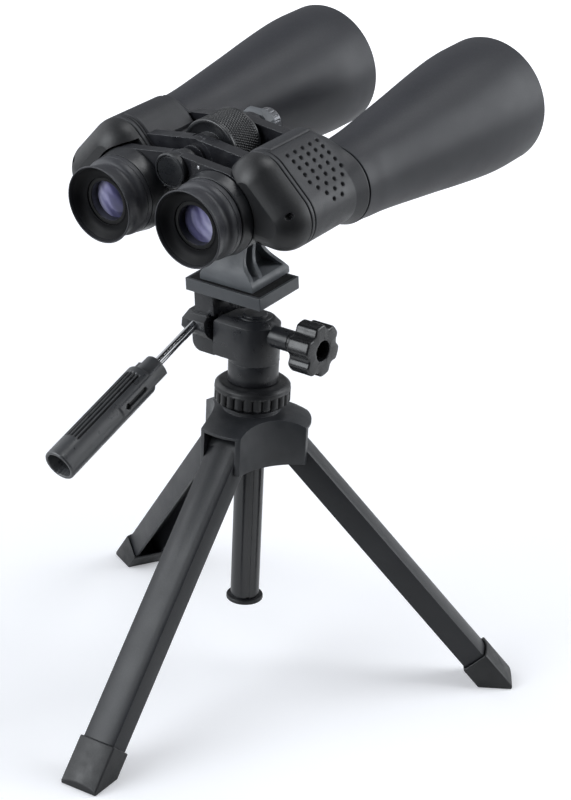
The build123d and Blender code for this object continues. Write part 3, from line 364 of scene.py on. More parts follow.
# ------------------------------------------------------------------ mesh tools
def add_piece(bm, name, mat, body, replaces, slot, sharp, recess_shade=None):
    """Turn bm into a smooth object that rides a body; sharp is the crease angle in degrees."""
    bmesh.ops.recalc_face_normals(bm, faces=bm.faces)
    mesh = bpy.data.meshes.new(name)
    bm.to_mesh(mesh)
    bm.free()
    mesh.polygons.foreach_set("use_smooth", [True] * len(mesh.polygons))
    mesh.set_sharp_from_angle(angle=math.radians(sharp))
    # per-vertex painted shade for recesses, read by the material
    if recess_shade is not None:
        layer = mesh.attributes.new("recess_shade", "FLOAT", "POINT")
        layer.data.foreach_set("value", np.clip(np.asarray(recess_shade, np.float32), 0, 1))
    ob = bpy.data.objects.new(name, mesh)
    scene.collection.objects.link(ob)
    mesh.materials.append(MATERIAL[mat])
    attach(ob, body)
    if replaces:
        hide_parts(replaces)
        slot = slot or SLOT.get(replaces)


def make(name, verts, rings, mat, body, replaces=None, slot=None, sharp=38, recess_shade=None):
    """A closed skin through rings of vertex numbers, the last joined to the first.

    A ring of one number is a pole.
    """
    faces = []
    for a, b in zip(rings, rings[1:] + rings[:1]):
        count = max(len(a), len(b))
        if count == 1:
            continue
        for k in range(count):
            k2 = (k + 1) % count
            if len(a) == 1:
                faces.append((a[0], b[k2], b[k]))
            elif len(b) == 1:
                faces.append((a[k], a[k2], b[0]))
            else:
                faces.append((a[k], a[k2], b[k2], b[k]))
    raw = bpy.data.meshes.new("raw")
    raw.from_pydata([tuple(v) for v in verts], [], faces)
    bm = bmesh.new()
    bm.from_mesh(raw)
    bpy.data.meshes.remove(raw)
    add_piece(bm, name, mat, body, replaces, slot, sharp, recess_shade)


def even_rings(rows, count):
    return [range(i * count, (i + 1) * count) for i in range(rows)]


def soften_corners(points, closed=True):
    """Points are (station, radius, corner radius); each corner becomes a short curve."""
    steps = 4
    out = []
    count = len(points)
    for i, point in enumerate(points):
        corner = point[2] if len(point) > 2 else 0
        if not corner or (not closed and i in (0, count - 1)):
            out.append((point[0], point[1]))
            continue
        a, b, c = (np.array(points[(i + d) % count][:2], float) for d in (-1, 0, 1))
        before, after = np.linalg.norm(a - b), np.linalg.norm(c - b)
        start = b + (a - b) / before * min(corner, before * 0.48)
        end = b + (c - b) / after * min(corner, after * 0.48)
        for k in range(steps + 1):
            t = k / steps
            q = (1 - t) ** 2 * start + 2 * t * (1 - t) * b + t * t * end
            out.append((float(q[0]), float(q[1])))
    return out


def curve_through(points, per):
    """Catmull-Rom through (station, radius) points, with per steps to a span."""
    p = [np.array(q, float) for q in points]
    p = [2 * p[0] - p[1]] + p + [2 * p[-1] - p[-2]]
    out = []
    for i in range(1, len(p) - 2):
        for k in range(per):
            t = k / per
            out.append(tuple(0.5 * (
                2 * p[i] + (p[i + 1] - p[i - 1]) * t
                + (2 * p[i - 1] - 5 * p[i] + 4 * p[i + 1] - p[i + 2]) * t * t
                + (3 * p[i] - p[i - 1] - 3 * p[i + 1] + p[i + 2]) * t ** 3)))
    out.append(tuple(p[-2]))
    return out


def straight(start, stop, step, radius):
    """Evenly spaced profile points at one radius."""
    return [(float(s), radius) for s in np.arange(start, stop, step)]


def lathe(name, origin, axis, profile, mat, body, segs, relief=None, ref=None, **options):
    """Turn a closed profile of (station along the axis, radius).

    relief(angles, station, radius) gives the change of radius and the painted shade of the recesses at
    each angle. Angles start at ref. The options go on to make().
    """
    axis = axis.normalized()
    ref = ref or (EX if abs(axis.dot(EX)) < 0.9 else Vector((0, 1, 0)))
    u = (ref - axis * ref.dot(axis)).normalized()
    v = axis.cross(u)
    angles = np.arange(segs) * TAU / segs
    verts, rings, recess_shade = [], [], []
    for s, r in profile:
        base = len(verts)
        if r < 1e-5:
            rings.append([base])
            verts.append(origin + axis * s * MM)
            recess_shade.append(0.0)
            continue
        radii = np.full(segs, float(r))
        if relief:
            change, dark = relief(angles, s, r)
            radii = radii + change
            recess_shade.extend(dark)
        for angle, radius in zip(angles, radii):
            spoke = u * math.cos(angle) + v * math.sin(angle)
            verts.append(origin + axis * (s * MM) + spoke * (radius * MM))
        rings.append(range(base, base + segs))
    make(name, verts, rings, mat, body, recess_shade=recess_shade if relief else None, **options)


def refine(node, body, width, segments, angle, name):
    """A CAD node's shape with edges sharper than angle (degrees) rounded to width."""
    bm = bmesh.new()
    bm.from_mesh(nodes[node].data)
    bmesh.ops.remove_doubles(bm, verts=bm.verts, dist=2e-6)
    bmesh.ops.dissolve_limit(bm, angle_limit=math.radians(0.6), verts=bm.verts,
                             edges=bm.edges, use_dissolve_boundaries=False)
    edges = [e for e in bm.edges
             if len(e.link_faces) == 2 and e.calc_face_angle(0) > math.radians(angle)]
    if edges:
        bmesh.ops.bevel(bm, geom=edges, offset=width * MM, offset_type="OFFSET",
                        segments=segments, profile=0.5, affect="EDGES", clamp_overlap=True,
                        miter_outer="ARC")
    add_piece(bm, name, NODE_MATERIAL[node], body, node, SLOT[node], sharp=40)


def smoothstep(x, low, high):
    t = np.clip((x - low) / (high - low), 0, 1)
    return t * t * (3 - 2 * t)


def ramp(x):
    """Straight rise from 0 to 1."""
    return min(1.0, max(0.0, x))


def wrap(angle):
    return (angle + math.pi) % TAU - math.pi


# ------------------------------------------------------------------ rubber armour
# cross-section: the hull of three circles (x, z, radius), full size up to FULL_Y, then
# narrowing to the nose circles at NOSE_Y
FULL_CIRCLES = ((71.5, 0.0, 20.3), (55.0, 18.5, 19.0), (34.6, 0.0, 17.0))
NOSE_CIRCLES = ((68.1, 0.0, 26.2), (59.0, 12.5, 17.5), (51.0, 2.0, 14.0))
FULL_Y, NOSE_Y = 93.0, 104.8
# rows of pits: distance round the outline, first y, count, pitch
PITS = ((43.9, 59.0, 5, 7.5), (38.9, 60.0, 5, 7.4), (33.8, 60.8, 5, 7.5), (28.6, 61.2, 5, 7.7),
        (23.3, 60.8, 5, 8.0), (18.1, 64.0, 4, 8.3), (12.8, 67.8, 3, 8.2), (7.4, 71.8, 2, 8.2))
PIT_DEPTH, PIT_FLOOR_R, PIT_RIM_R = 1.2, 0.7, 1.72
LIP_LINE_Y, LIP_LINE_DEPTH = 50.9, 0.65        # pressed line behind the rear lip
LINE_HALF_WIDTH = 0.42
# raised smooth panel on the slope towards the hinge, with a line round it
PANEL_X, PANEL_Y, PANEL_MIN_Z = (33.5, 57.5), (53.5, 99.0), 6
PANEL_HEIGHT, PANEL_LINE_DEPTH = 0.6, 0.55
# (y, inset below the skin): rear lip, then the nose edge and the inside face
REAR_ROWS = [(47.55, 1.42), (47.55, 0.75), (47.7, 0.38), (48.0, 0.12), (48.4, 0.0)]
FRONT_ROWS = [(103.5, 0.05), (103.85, 0.22), (104.1, 0.5), (104.2, 0.85), (104.2, 1.4),
              (93.0, 1.42), (70.0, 1.42)]


def hull_ring(circles, count):
    """Even points, outward normals and distances round the hull, from the outermost point."""
    angles = np.radians(np.arange(0, 360, 0.25))
    rays = np.stack([np.cos(angles), np.sin(angles)], -1)
    c = np.array(circles)
    best = (rays @ c[:, :2].T + c[:, 2]).argmax(1)
    points = c[best, :2] + c[best, 2:3] * rays
    loop = np.vstack([points, points[:1]])
    length = np.r_[0, np.cumsum(np.hypot(*np.diff(loop, axis=0).T))]
    along = np.arange(count) * length[-1] / count
    x, z = np.interp(along, length, loop[:, 0]), np.interp(along, length, loop[:, 1])
    dx, dz = np.roll(x, -1) - np.roll(x, 1), np.roll(z, -1) - np.roll(z, 1)
    normals = np.stack([dz, -dx], -1)
    return np.stack([x, z], -1), normals / np.linalg.norm(normals, axis=1)[:, None], along


def pressed_line(distance):
    return np.exp(-(distance / LINE_HALF_WIDTH) ** 2)


def armour_relief(y, points, along):
    """Height above the skin and painted shade in the pits and pressed lines round one ring."""
    # painted shade along the pressed line behind the rear lip
    dark = np.full(len(along), pressed_line(y - LIP_LINE_Y))
    height = -LIP_LINE_DEPTH * dark
    for pit_along, first_y, count, pitch in PITS:
        k = min(max(round((y - first_y) / pitch), 0), count - 1)
        distance = np.hypot(along - pit_along, y - (first_y + k * pitch))
        pit = 1 - smoothstep(distance, PIT_FLOOR_R, PIT_RIM_R)
        height -= PIT_DEPTH * pit
        # painted shade in each pit
        dark = np.maximum(dark, pit * 0.95)
    x, z = points.T
    inside = np.minimum(np.minimum(x - PANEL_X[0], PANEL_X[1] - x),
                        min(y - PANEL_Y[0], PANEL_Y[1] - y))
    inside = np.where(z > PANEL_MIN_Z, inside, -9)
    line = pressed_line(inside + 0.55)
    height += PANEL_HEIGHT * smoothstep(inside, 0.0, 0.9) - PANEL_LINE_DEPTH * line
    # painted shade along the line round the raised panel
    return height, np.maximum(dark, 0.8 * line)


def armour(side, half):
    count = 560
    step = 0.42
    rows = REAR_ROWS + straight(48.8, 103.2, step, 0.0) + FRONT_ROWS
    verts, recess_shade = [], []
    for y, inset in rows:
        t = min(max((y - FULL_Y) / (NOSE_Y - FULL_Y), 0), 1)
        circles = [tuple(a + (b - a) * t for a, b in zip(full, nose))
                   for full, nose in zip(FULL_CIRCLES, NOSE_CIRCLES)]
        points, normals, along = hull_ring(circles, count)
        if inset:
            height, dark = np.full(count, -inset), np.zeros(count)
        else:
            height, dark = armour_relief(y, points, along)
        recess_shade.extend(dark)
        for x, z in points + normals * height[:, None]:
            verts.append(bino(side * x, y, z))
    make(f"{half}_armour_skin", verts, even_rings(len(rows), count), "armour", f"{half}_half",
         replaces=f"{half}_armour", sharp=50, recess_shade=recess_shade)


# ------------------------------------------------------------------ objective barrels
# (y, radius)
BARREL_NECK = [(97.5, 20.2), (97.5, 22.35), (104.85, 22.35), (104.85, 25.9), (105.15, 26.2),
               (108.0, 26.28), (112.0, 26.45), (116.0, 26.75)]
BARREL_FLARE = [(119.0, 27.1), (135.0, 28.35), (152.4, 30.45), (172.7, 33.2), (193.0, 35.95),
                (213.4, 38.9), (233.7, 41.6), (250.0, 43.35), (262.0, 43.98)]
BARREL_MOUTH = [(270.0, 44.0), (283.2, 44.0), (283.9, 43.8), (284.3, 43.4), (284.4, 43.0),
                (284.4, 42.3), (284.1, 41.95), (283.4, 41.85)]
BARREL_BORE = [(267.6, 41.62), (262.0, 41.6), (262.0, 36.05), (246.0, 36.05), (246.0, 34.6),
               (242.0, 34.6), (213.4, 34.0), (172.7, 29.8), (135.0, 25.6), (112.0, 22.0)]
BAFFLE_Y, BAFFLE_PITCH, BAFFLE_COUNT = 281.5, 1.2, 11
BAFFLE_CREST_R, BAFFLE_ROOT_R = 41.82, 41.55


def barrel(side, half):
    profile = BARREL_NECK + curve_through(BARREL_FLARE, 6) + BARREL_MOUTH
    # fine stray-light steps inside the dew shield
    for k in range(BAFFLE_COUNT):
        y = BAFFLE_Y - k * BAFFLE_PITCH
        profile += [(y, BAFFLE_CREST_R), (y - 0.3, BAFFLE_ROOT_R), (y - 0.7, BAFFLE_ROOT_R)]
    lathe(f"{half}_barrel_tube", bino(side * OBJECTIVE_X, 0, 0), EY, profile + BARREL_BORE,
          "barrel", f"{half}_half", segs=256,
          replaces=f"{half}_objective_barrel", sharp=34)


# ------------------------------------------------------------------ eyepieces
# (y, radius, corner radius)
CUP_OUTLINE = [
    (0.0, 23.95, 0.2), (0.0, 24.55, 0.3), (0.7, 24.8, 0.5), (9.4, 22.35, 2.2),
    (11.6, 22.5, 1.2), (13.2, 24.25, 1.0), (15.0, 24.9, 1.0), (17.1, 25.0, 0),
    (17.2, 24.7, 0), (17.5, 24.7, 0), (17.6, 25.02, 0), (20.95, 25.2, 0.4),
    (20.95, 17.36, 0.1), (8.45, 17.36, 0.1), (8.45, 15.3, 0.2), (7.4, 15.2, 0.5)]
# inner cone of the cup, from the ring out to the lip: (y, radius)
CUP_BOWL = [(7.35, 15.4), (7.3, 17.2), (6.7, 19.2), (5.2, 21.0), (3.0, 22.5), (1.0, 23.55),
            (0.15, 23.9)]
# dark ring set just in front of the ocular's end face, a sheet of painted shade inside the eyecup
EYE_RING = [(7.95, 12.95, 0.12), (7.95, 15.1, 0.12), (8.45, 15.1, 0.05), (8.45, 12.75, 0.05)]
EYE_LENS_Y, EYE_LENS_CURVE_R, EYE_LENS_R = 11.4, 37.18, 12.55
COATING_BACK, COATING_FRONT = 0.012, 0.035      # gaps above the lens surface


def bowl_shade(angles, y, radius):
    # painted shade: darker the deeper into the cup's inner bowl, standing in for the shade there; no change of
    # radius
    in_bowl = y < 8.6 and radius < 24.0 - 0.3 * y
    depth = 1 - math.exp(-max(y - 0.25, 0) / 0.9) if in_bowl else 0.0
    return np.zeros_like(angles), np.full_like(angles, depth)


def eyecup(side, half):
    profile = soften_corners(CUP_OUTLINE)
    # moulded steps down the inner cone
    for k, (y, radius) in enumerate(curve_through(CUP_BOWL, 4)):
        profile.append((y, radius))
        if 4 < k < 20:
            profile.append((y - 0.04, radius + 0.16))
    lathe(f"{half}_eyecup_rubber", bino(side * EYE_X, 0, 0), EY, profile, "eyecup",
          EYE_BODY[half], segs=192, relief=bowl_shade,
          replaces=f"{half}_eyecup", sharp=60)


def eye_ring(side, half):
    # near-black ring laid over the ocular's end face as painted shade
    lathe(f"{half}_eye_ring", bino(side * EYE_X, 0, 0), EY, soften_corners(EYE_RING), "shade_black",
          EYE_BODY[half], segs=128, slot="ocular_metal", sharp=60)


def eye_coating(side, half):
    """Thin skin over the eye lens, following its outer surface."""
    curve_r = EYE_LENS_CURVE_R
    surface = [(EYE_LENS_Y + curve_r - math.sqrt(curve_r * curve_r - r * r), float(r))
               for r in np.linspace(0, EYE_LENS_R, 24)]
    profile = [(y - COATING_FRONT, r) for y, r in surface]
    profile += [(y - COATING_BACK, r) for y, r in surface[::-1]]
    lathe(f"{half}_eye_coating", bino(side * EYE_X, 0, 0), EY, profile, "lens",
          EYE_BODY[half], segs=96, slot="coated_glass", sharp=60)


# ------------------------------------------------------------------ focus wheel
KNURL_START, KNURL_END = 69.0, 90.6
BEAD_ROW_PITCH, BEADS_ROUND = 1.8, 72
# (y, radius) before and after the knurled band
WHEEL_REAR = [
    (62.0, 6.65), (62.0, 10.2), (62.4, 10.6), (67.4, 12.2), (67.5, 17.3), (66.7, 18.2),
    (66.5, 18.6), (66.5, 19.7), (66.7, 20.2), (67.2, 20.55), (68.6, 20.6), (68.9, 20.35),
    (69.0, 20.42)]
WHEEL_FRONT = [
    (90.62, 20.42), (90.75, 20.35), (91.0, 20.6), (92.3, 20.55), (92.8, 20.2), (93.0, 19.7),
    (93.0, 17.8), (92.2, 16.8), (92.2, 11.6), (95.4, 10.6), (95.6, 10.3), (95.6, 6.65)]


def knurl(angles, y, radius):
    """Rows of beads, every other row shifted by half a bead, with painted shade between the beads."""
    if radius < 20.4 or not KNURL_START < y < KNURL_END:
        return np.zeros_like(angles), np.zeros_like(angles)
    fade = min(1.0, (y - KNURL_START) / 0.5, (KNURL_END - y) / 0.5)
    row = (y - KNURL_START) / BEAD_ROW_PITCH
    wave = np.cos(BEADS_ROUND * angles + math.pi * (math.floor(row) % 2)) * 0.5 + 0.5
    across = math.sin(math.pi * (row - math.floor(row)))
    bead = np.sqrt(np.clip(wave, 0, 1)) * max(across, 0) ** 0.5
    return -0.55 * fade + 0.62 * fade * bead, 1 - np.clip(bead * 1.6, 0, 1)


def focus_wheel():
    band = straight(69.05, KNURL_END, 0.18, 20.5)
    lathe("focus_wheel_rim", bino(0, 0, HINGE_Z), EY, WHEEL_REAR + band + WHEEL_FRONT,
          "wheel", "focus_wheel", segs=720, relief=knurl,
          replaces="focus_wheel", sharp=60)


# ------------------------------------------------------------------ ribbed platform pad
PAD_TOP_HEIGHT, TILT_AXIS_HEIGHT = 285.6, 251.7
PAD_HALF_X, PAD_HALF_Y, PAD_CORNER_R, PAD_HOLE_R = 28.35, 18.9, 1.2, 3.45
RIB_PITCH, RIB_DEPTH = 1.8, 0.22
PAD_RIB_TOP, PAD_RIM, PAD_BOTTOM = -0.03, -0.2, -0.96      # heights from the CAD pad's top


def pad():
    around, steps = ((480, 44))
    centre = joint_place("camera_screw_turn")
    axis = joint_axis("camera_screw_turn")
    top = TILT + EZ * (PAD_TOP_HEIGHT - TILT_AXIS_HEIGHT) * MM
    top_along = (top - centre).dot(axis) / MM
    angles = np.arange(around) * TAU / around
    c, s = np.cos(angles), np.sin(angles)
    # rectangle outline with rounded corners
    reach = np.minimum(PAD_HALF_X / np.maximum(abs(c), 1e-9),
                       PAD_HALF_Y / np.maximum(abs(s), 1e-9))
    x, y = c * reach, s * reach
    core_x, core_y = PAD_HALF_X - PAD_CORNER_R, PAD_HALF_Y - PAD_CORNER_R
    corner_x, corner_y = np.clip(x, -core_x, core_x), np.clip(y, -core_y, core_y)
    gap = np.hypot(x - corner_x, y - corner_y)
    pull = np.where(gap > PAD_CORNER_R, PAD_CORNER_R / np.maximum(gap, 1e-9), 1)
    x, y = corner_x + (x - corner_x) * pull, corner_y + (y - corner_y) * pull
    layers = []
    for i in range(steps + 1):
        t = i / steps
        layer_x = c * PAD_HOLE_R * (1 - t) + x * t
        layer_y = s * PAD_HOLE_R * (1 - t) + y * t
        rib = RIB_DEPTH * (np.abs(((layer_y / RIB_PITCH) % 1) - 0.5) * 2) ** 2
        height = np.full_like(x, PAD_RIM) if i in (0, steps) else PAD_RIB_TOP - rib
        layers.append((layer_x, layer_y, height))
    bottom = np.full_like(x, PAD_BOTTOM)
    layers.append((x, y, bottom))
    layers.append((c * PAD_HOLE_R, s * PAD_HOLE_R, bottom))
    verts = [centre + (EX * float(a) + EY * float(b)) * MM + axis * ((top_along + float(h)) * MM)
             for layer in layers for a, b, h in zip(*layer)]
    make("platform_pad_ribs", verts, even_rings(len(layers), around), "pad", "tilt",
         replaces="platform_pad", sharp=60)


# ------------------------------------------------------------------ handle grip
GROOVES = [math.radians(a + turn) for turn in (0, 180) for a in (-26, -12, 2, 16, 30, 44)]
TONGUES = [math.radians(a) for a in (-74, 106)]
GRIP_R, NECK_R, TONGUE_R, GRIP_BORE_R = 11.0, 7.5, 11.75, 3.06
# (station, radius): rod end, shoulder, and the far end with its hollow and the rod bore
GRIP_START = [(44.0, GRIP_BORE_R), (44.0, 7.0), (44.2, 7.35), (44.6, NECK_R)]
GRIP_SHOULDER = [(57.7, 7.8), (57.9, 8.6), (58.1, 9.8), (58.5, 10.5), (59.1, 10.85),
                 (59.8, GRIP_R)]
GRIP_END = [
    (142.8, GRIP_R), (143.4, 10.85), (143.8, 10.5), (144.0, 10.1), (144.0, 9.3), (143.8, 8.9),
    (143.3, 8.65), (112.4, 8.6), (112.0, 8.2), (112.0, 0.0), (66.0, 0.0), (66.0, GRIP_BORE_R)]


def grip_relief(angles, s, r):
    """Lengthwise grooves and two raised tongues, each with a slot and a hole, with painted shade in the grooves,
    slots and holes.
    """
    add, dark = np.zeros_like(angles), np.zeros_like(angles)
    if r < 7.0 or s < 44.3 or s > 143:
        return add, dark
    if 59.5 < s < 130:
        end = min(1.0, max(0.0, (s - 63.5) / 1.2), max(0.0, (127.0 - s) / 1.2))
        for groove in GROOVES:
            lateral = np.abs(wrap(angles - groove)) * r
            cut = (1 - smoothstep(lateral, 0.45, 1.05)) * end
            add -= 0.95 * cut
            dark = np.maximum(dark, cut)
    for tongue in TONGUES:
        lateral = np.abs(wrap(angles - tongue)) * min(r, GRIP_R) * (1 if r > 9 else 1.35)
        ends = min(1.0, max(0.0, (s - 46.0) / 0.8), max(0.0, (92.0 - s) / 0.8))
        mask = (1 - smoothstep(lateral, 3.5, 4.3)) * ends
        add = add * (1 - mask) + mask * (TONGUE_R - r)
        dark = dark * (1 - mask)
        if 60 < s < 92:
            from_slot = np.sqrt(lateral ** 2 + max(0.0, 68.0 - s, s - 86.0) ** 2)
            slot = 1 - smoothstep(from_slot, 0.9, 1.5)
            hole = 1 - smoothstep(np.sqrt(lateral ** 2 + (s - 85.0) ** 2), 1.5, 2.0)
            add -= 1.6 * np.maximum(slot, hole * 1.5)
            dark = np.maximum(dark, np.maximum(slot * 0.9, hole))
    return add, dark


def grip():
    axis = joint_axis("handle_turn")
    if axis.y > 0:
        axis = -axis
    neck = [(float(s), NECK_R + 0.02 * (s - 45)) for s in np.arange(45.0, 57.6, 0.5)]
    barrel_run = straight(60.2, 142.6, 0.45, GRIP_R)
    lathe("grip_shell", joint_place("handle_turn"), axis,
          GRIP_START + neck + GRIP_SHOULDER + barrel_run + GRIP_END, "grip", "handle",
          segs=320, relief=grip_relief, replaces="handle_grip", sharp=50,
          ref=UP)


# ------------------------------------------------------------------ ribbed locking collar
COLLAR_BORE_R, COLLAR_R = 9.9, 25.35
# (height above the table, radius) below and above the ribbed band
COLLAR_BOTTOM = [(200.25, COLLAR_BORE_R), (200.25, 19.4), (200.5, 20.0), (201.6, 21.8),
                 (202.8, 23.6), (203.5, 24.6), (204.2, 25.2)]
COLLAR_TOP = [(212.6, COLLAR_R), (212.9, 25.2), (213.1, 25.1), (214.6, 25.1), (215.0, 24.9),
              (216.7, 22.9), (217.05, 22.2), (217.2, 21.3), (217.2, COLLAR_BORE_R)]


def collar_relief(angles, z, radius):
    """Upright ribs with valleys rounded off at the top, and painted shade in the valleys."""
    if radius < 21.9 or z > 212.9:
        return np.zeros_like(angles), np.zeros_like(angles)
    rib = np.abs(np.cos(12 * angles)) ** 0.55
    top = 212.7 - 1.6 * (1 - rib)
    cut = (1 - rib) * smoothstep(top - z, 0.0, 0.7) * ramp((z - 201.2) / 0.8)
    return -1.75 * cut, 0.9 * np.clip(cut * 1.4, 0, 1)


def collar():
    lathe("collar_ribs", BASE, UP,
          COLLAR_BOTTOM + straight(204.6, 212.4, 0.3, COLLAR_R) + COLLAR_TOP, "collar",
          "collar", segs=576, relief=collar_relief,
          replaces="lock_collar", sharp=40)


# ------------------------------------------------------------------ star knob
KNOB_R = 18.0
NOTCH_CENTRE_R, NOTCH_R, NOTCHES = 20.6, 5.6, 6
KNOB_JOINT_S = 40          # station of the lock joint along the knob's axis
# (station, radius): back with its stem, and the outer face with its cup
KNOB_BACK = [
    (30.45, 4.15), (30.45, 6.9), (30.7, 7.15), (31.0, 7.2), (38.3, 7.2), (38.5, 7.6),
    (38.6, 10.5), (38.6, 17.0), (38.7, 17.5), (39.1, 17.85), (39.6, KNOB_R)]
KNOB_FACE = [
    (53.9, 17.97), (54.4, 17.75), (54.8, 17.3), (55.0, 16.7), (55.0, 10.2), (54.9, 9.0),
    (54.9, 7.6), (54.7, 7.15), (54.2, 7.0), (44.7, 7.0), (44.5, 6.8), (44.5, 0.0),
    (34.6, 0.0), (34.6, 4.15)]


def star(angles):
    """Outline radius of a disc with round notches, smoothed into lobes."""
    t = np.linspace(-math.pi, math.pi, 1440, endpoint=False)
    r = np.full_like(t, KNOB_R)
    for k in range(NOTCHES):
        d = wrap(t - math.radians(12 + 360 // NOTCHES * k))
        under = NOTCH_R ** 2 - (NOTCH_CENTRE_R * np.sin(d)) ** 2
        near = NOTCH_CENTRE_R * np.cos(d) - np.sqrt(np.maximum(under, 0))
        r = np.where((under > 0) & (np.cos(d) > 0.5), np.minimum(r, near), r)
    kernel = np.exp(-0.5 * (np.arange(-60, 61) / 12.0) ** 2)
    kernel /= kernel.sum()
    soft = np.convolve(np.r_[r[-60:], r, r[:60]], kernel, "valid")
    soft = KNOB_R - (soft.max() - soft) * 1.05
    return np.interp(wrap(angles), t, soft, period=TAU)


def knob_relief(angles, s, radius):
    change = np.zeros_like(angles) if radius < 10 else star(angles) - KNOB_R
    # the cup in the knob's face gets painted shade
    in_cup = radius < 7.1 and 44.4 < s < 53.8
    return change, np.full_like(angles, 1.0 if in_cup else 0.0)


def star_knob():
    origin = joint_place("lock_turn")
    origin.x -= KNOB_JOINT_S * MM
    lathe("star_knob", origin, EX, KNOB_BACK + straight(40.5, 53.6, 0.8, KNOB_R) + KNOB_FACE,
          "knob", "lock_knob", segs=480, relief=knob_relief,
          replaces="lock_knob", sharp=40, ref=Vector((0, 1, 0)))


# ------------------------------------------------------------------ hard parts, feet and screw
# node, edge radius, smallest edge angle rounded in degrees
HARD_PARTS = (("platform", 0.35, 25), ("tilt_block", 0.45, 25), ("pan_body", 0.45, 25),
              ("pan_base", 0.3, 25), ("crown", 0.5, 30), ("adapter_bracket", 0.4, 30),
              ("leg_1", 0.7, 30), ("leg_2", 0.7, 30), ("leg_3", 0.7, 30))
# (station, radius, corner radius)
ARM_SCREW = [(0.0, 0.0), (0.0, 1.15, 0.3), (0.6, 1.3, 0.2), (1.6, 1.3, 0), (1.6, 0.0)]


def hard_parts():
    for node, width, angle in HARD_PARTS:
        refine(node, NODE_BODY[node], width=width, segments=3, angle=angle,
               name=f"{node}_shell")
    for k in (1, 2, 3):
        refine(f"foot_{k}", f"leg_{k}", width=1.1, segments=4, angle=20, name=f"foot_{k}_cap")


def arm_screw():
    """Small bright screw on the right eyepiece arm."""
    lathe("arm_screw", bino(19.5, 31.4, 25.4), EY, soften_corners(ARM_SCREW, closed=False),
          "bright_screw", "right_arm", segs=32, slot="small_screws")


# ------------------------------------------------------------------ stage, light and camera
# (metres from here on)
YAW, PITCH, ROLL = math.radians(35.55), math.radians(-22.92), math.radians(2.64)
TO_CAMERA = Vector((math.sin(YAW), -math.cos(YAW), 0))      # level, from the object
RIGHT = Vector((math.cos(YAW), math.sin(YAW), 0))           # level, to the camera's right
CAMERA_X, CAMERA_Y, CAMERA_Z = 0.72746, -0.97999, 0.71924   # from the column's foot
FLOOR_SIZE, FLOOR_Z = 24.0, -0.0002


def floor_material():
    """White paper to the camera; to the object, a table that darkens towards the camera."""
    mat = bpy.data.materials.new("floor_paper")
    graph = Graph(mat)
    noise = graph.add("TexNoise", {"Scale": 2.5}).outputs["Fac"]
    colour = graph.mix(noise, (0.845, 0.85, 0.875), (0.875, 0.88, 0.90))
    paper = graph.add("BsdfPrincipled", {"Roughness": 0.7, "Base Color": colour})
    # glow that grows with distance from the world origin
    place = graph.add("NewGeometry").outputs["Position"]
    reach = graph.add("VectorMath", {0: place}, operation="LENGTH").outputs["Value"]
    strength = graph.remap(reach, span=(0.25, 2.2), to=(0.24, 0.95), smooth=True)
    glow = graph.add("Emission", {"Color": (0.96, 0.965, 1.0), "Strength": strength})
    seen = graph.add("AddShader", {0: paper.outputs[0], 1: glow.outputs[0]})
    nearness = graph.dot(graph.add("NewGeometry").outputs["Position"], TO_CAMERA)
    shade = graph.remap(nearness, span=(0.16, 0.62), to=(0.80, 0.04), smooth=True)
    grey = graph.add("CombineColor", {k: shade for k in range(3)})
    unseen = graph.add("BsdfDiffuse", {"Color": grey.outputs[0]})
    camera_ray = graph.add("LightPath").outputs["Is Camera Ray"]
    pick = graph.add("MixShader", {0: camera_ray, 1: unseen.outputs[0], 2: seen.outputs[0]})
    graph.add("OutputMaterial", {0: pick.outputs[0]})
    return mat


def floor():
    mesh = bpy.data.meshes.new("floor")
    h = FLOOR_SIZE / 2
    corners = [(x, y, FLOOR_Z) for x, y in ((-h, -h), (h, -h), (h, h), (-h, h))]
    mesh.from_pydata(corners, [], [(0, 1, 2, 3)])
    ob = bpy.data.objects.new("floor", mesh)
    scene.collection.objects.link(ob)
    mesh.materials.append(floor_material())


def studio_world():
    """Walls of light around the object, and a plain backdrop for the camera."""
    world = bpy.data.worlds.new("studio")
    scene.world = world
    graph = Graph(world)
    direction = graph.add("TexCoord").outputs["Generated"]

    def wall(towards, span, strength):
        facing = graph.dot(direction, towards)
        return graph.remap(facing, span=span, to=(0, strength), smooth=True)

    walls = [wall(-RIGHT, span=(0.25, 0.85), strength=1.35),
             wall(RIGHT, span=(0.35, 0.95), strength=0.75),
             wall(-TO_CAMERA, span=(-0.1, 0.9), strength=0.22),
             wall(UP, span=(-0.2, 0.6), strength=0.10)]
    total = walls[0]
    for level in walls[1:]:
        total = graph.math("ADD", total, level)
    light = graph.add("Background", {"Color": (0.94, 0.965, 1.0), "Strength": total})
    backdrop = graph.add("Background", {"Color": (0.93, 0.945, 0.97), "Strength": 1.0})
    camera_ray = graph.add("LightPath").outputs["Is Camera Ray"]
    pick = graph.add("MixShader", {0: camera_ray, 1: light.outputs[0],
                                   2: backdrop.outputs[0]})
    graph.add("OutputWorld", {0: pick.outputs[0]})


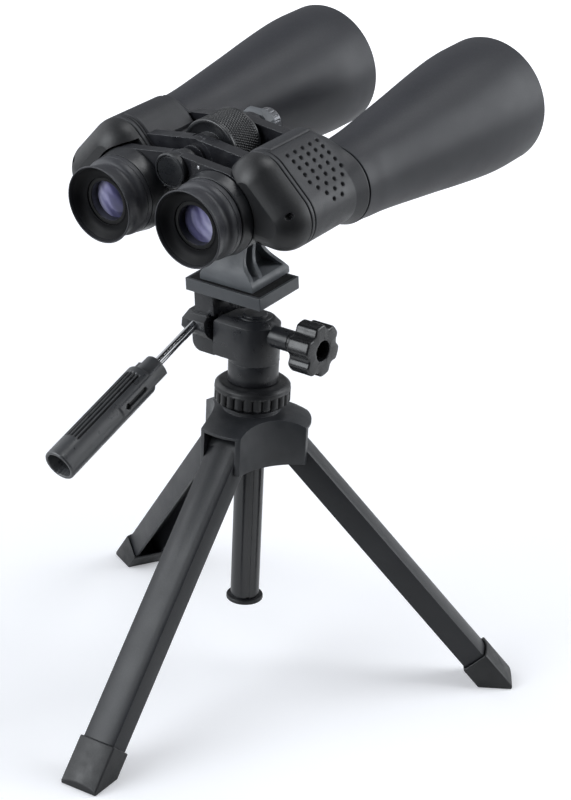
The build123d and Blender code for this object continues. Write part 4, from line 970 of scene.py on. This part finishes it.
def area(name, right, near, height, look_height, width, length, power, colour):
    """Softbox placed along RIGHT and TO_CAMERA, aimed at a height on the column axis."""
    light = bpy.data.lights.new(name, "AREA")
    light.energy = power
    light.color = colour
    light.shape = "RECTANGLE"
    light.size = width
    light.size_y = length
    ob = bpy.data.objects.new(name, light)
    scene.collection.objects.link(ob)
    place = BASE + RIGHT * right + TO_CAMERA * near + UP * height
    ob.location = place
    look = BASE + UP * look_height
    ob.rotation_euler = (look - place).to_track_quat("-Z", "Y").to_euler()


def lights():
    area("left_box", right=-1.25, near=0.75, height=0.9, look_height=0.25, width=1.1,
         length=1.3, power=15.0, colour=(0.93, 0.97, 1.0))
    area("right_box", right=1.45, near=-0.30, height=0.85, look_height=0.30, width=1.0,
         length=1.2, power=11.0, colour=(0.94, 0.97, 1.0))
    area("top_box", right=0.5, near=-0.2, height=2.0, look_height=0.1, width=0.9,
         length=0.9, power=9.0, colour=(0.97, 0.985, 1.0))


def camera():
    data = bpy.data.cameras.new("camera")
    ob = bpy.data.objects.new("camera", data)
    scene.collection.objects.link(ob)
    view = Vector((-math.sin(YAW) * math.cos(PITCH), math.cos(YAW) * math.cos(PITCH),
                   math.sin(PITCH)))
    level_up = RIGHT.cross(view)
    right = RIGHT * math.cos(ROLL) + level_up * math.sin(ROLL)
    up = level_up * math.cos(ROLL) - RIGHT * math.sin(ROLL)
    pose = Matrix((right, up, -view)).transposed().to_4x4()
    pose.translation = (BASE.x + CAMERA_X, BASE.y + CAMERA_Y, CAMERA_Z)
    ob.matrix_world = pose
    data.sensor_fit = "AUTO"
    data.sensor_width = 36.0      # millimetres, as is the lens
    data.lens = 90.0414
    data.clip_start = 0.01
    scene.camera = ob
    scene.view_settings.view_transform = "Standard"
    scene.view_settings.look = "None"
    scene.view_settings.exposure = 0.0


# ------------------------------------------------------------------ build
dress_nodes()
for piece in (armour, barrel, eyecup, eye_ring, eye_coating):
    for side, half in HALVES:
        piece(side, half)
focus_wheel()
pad()
grip()
collar()
star_knob()
hard_parts()
arm_screw()
floor()
studio_world()
lights()
camera()
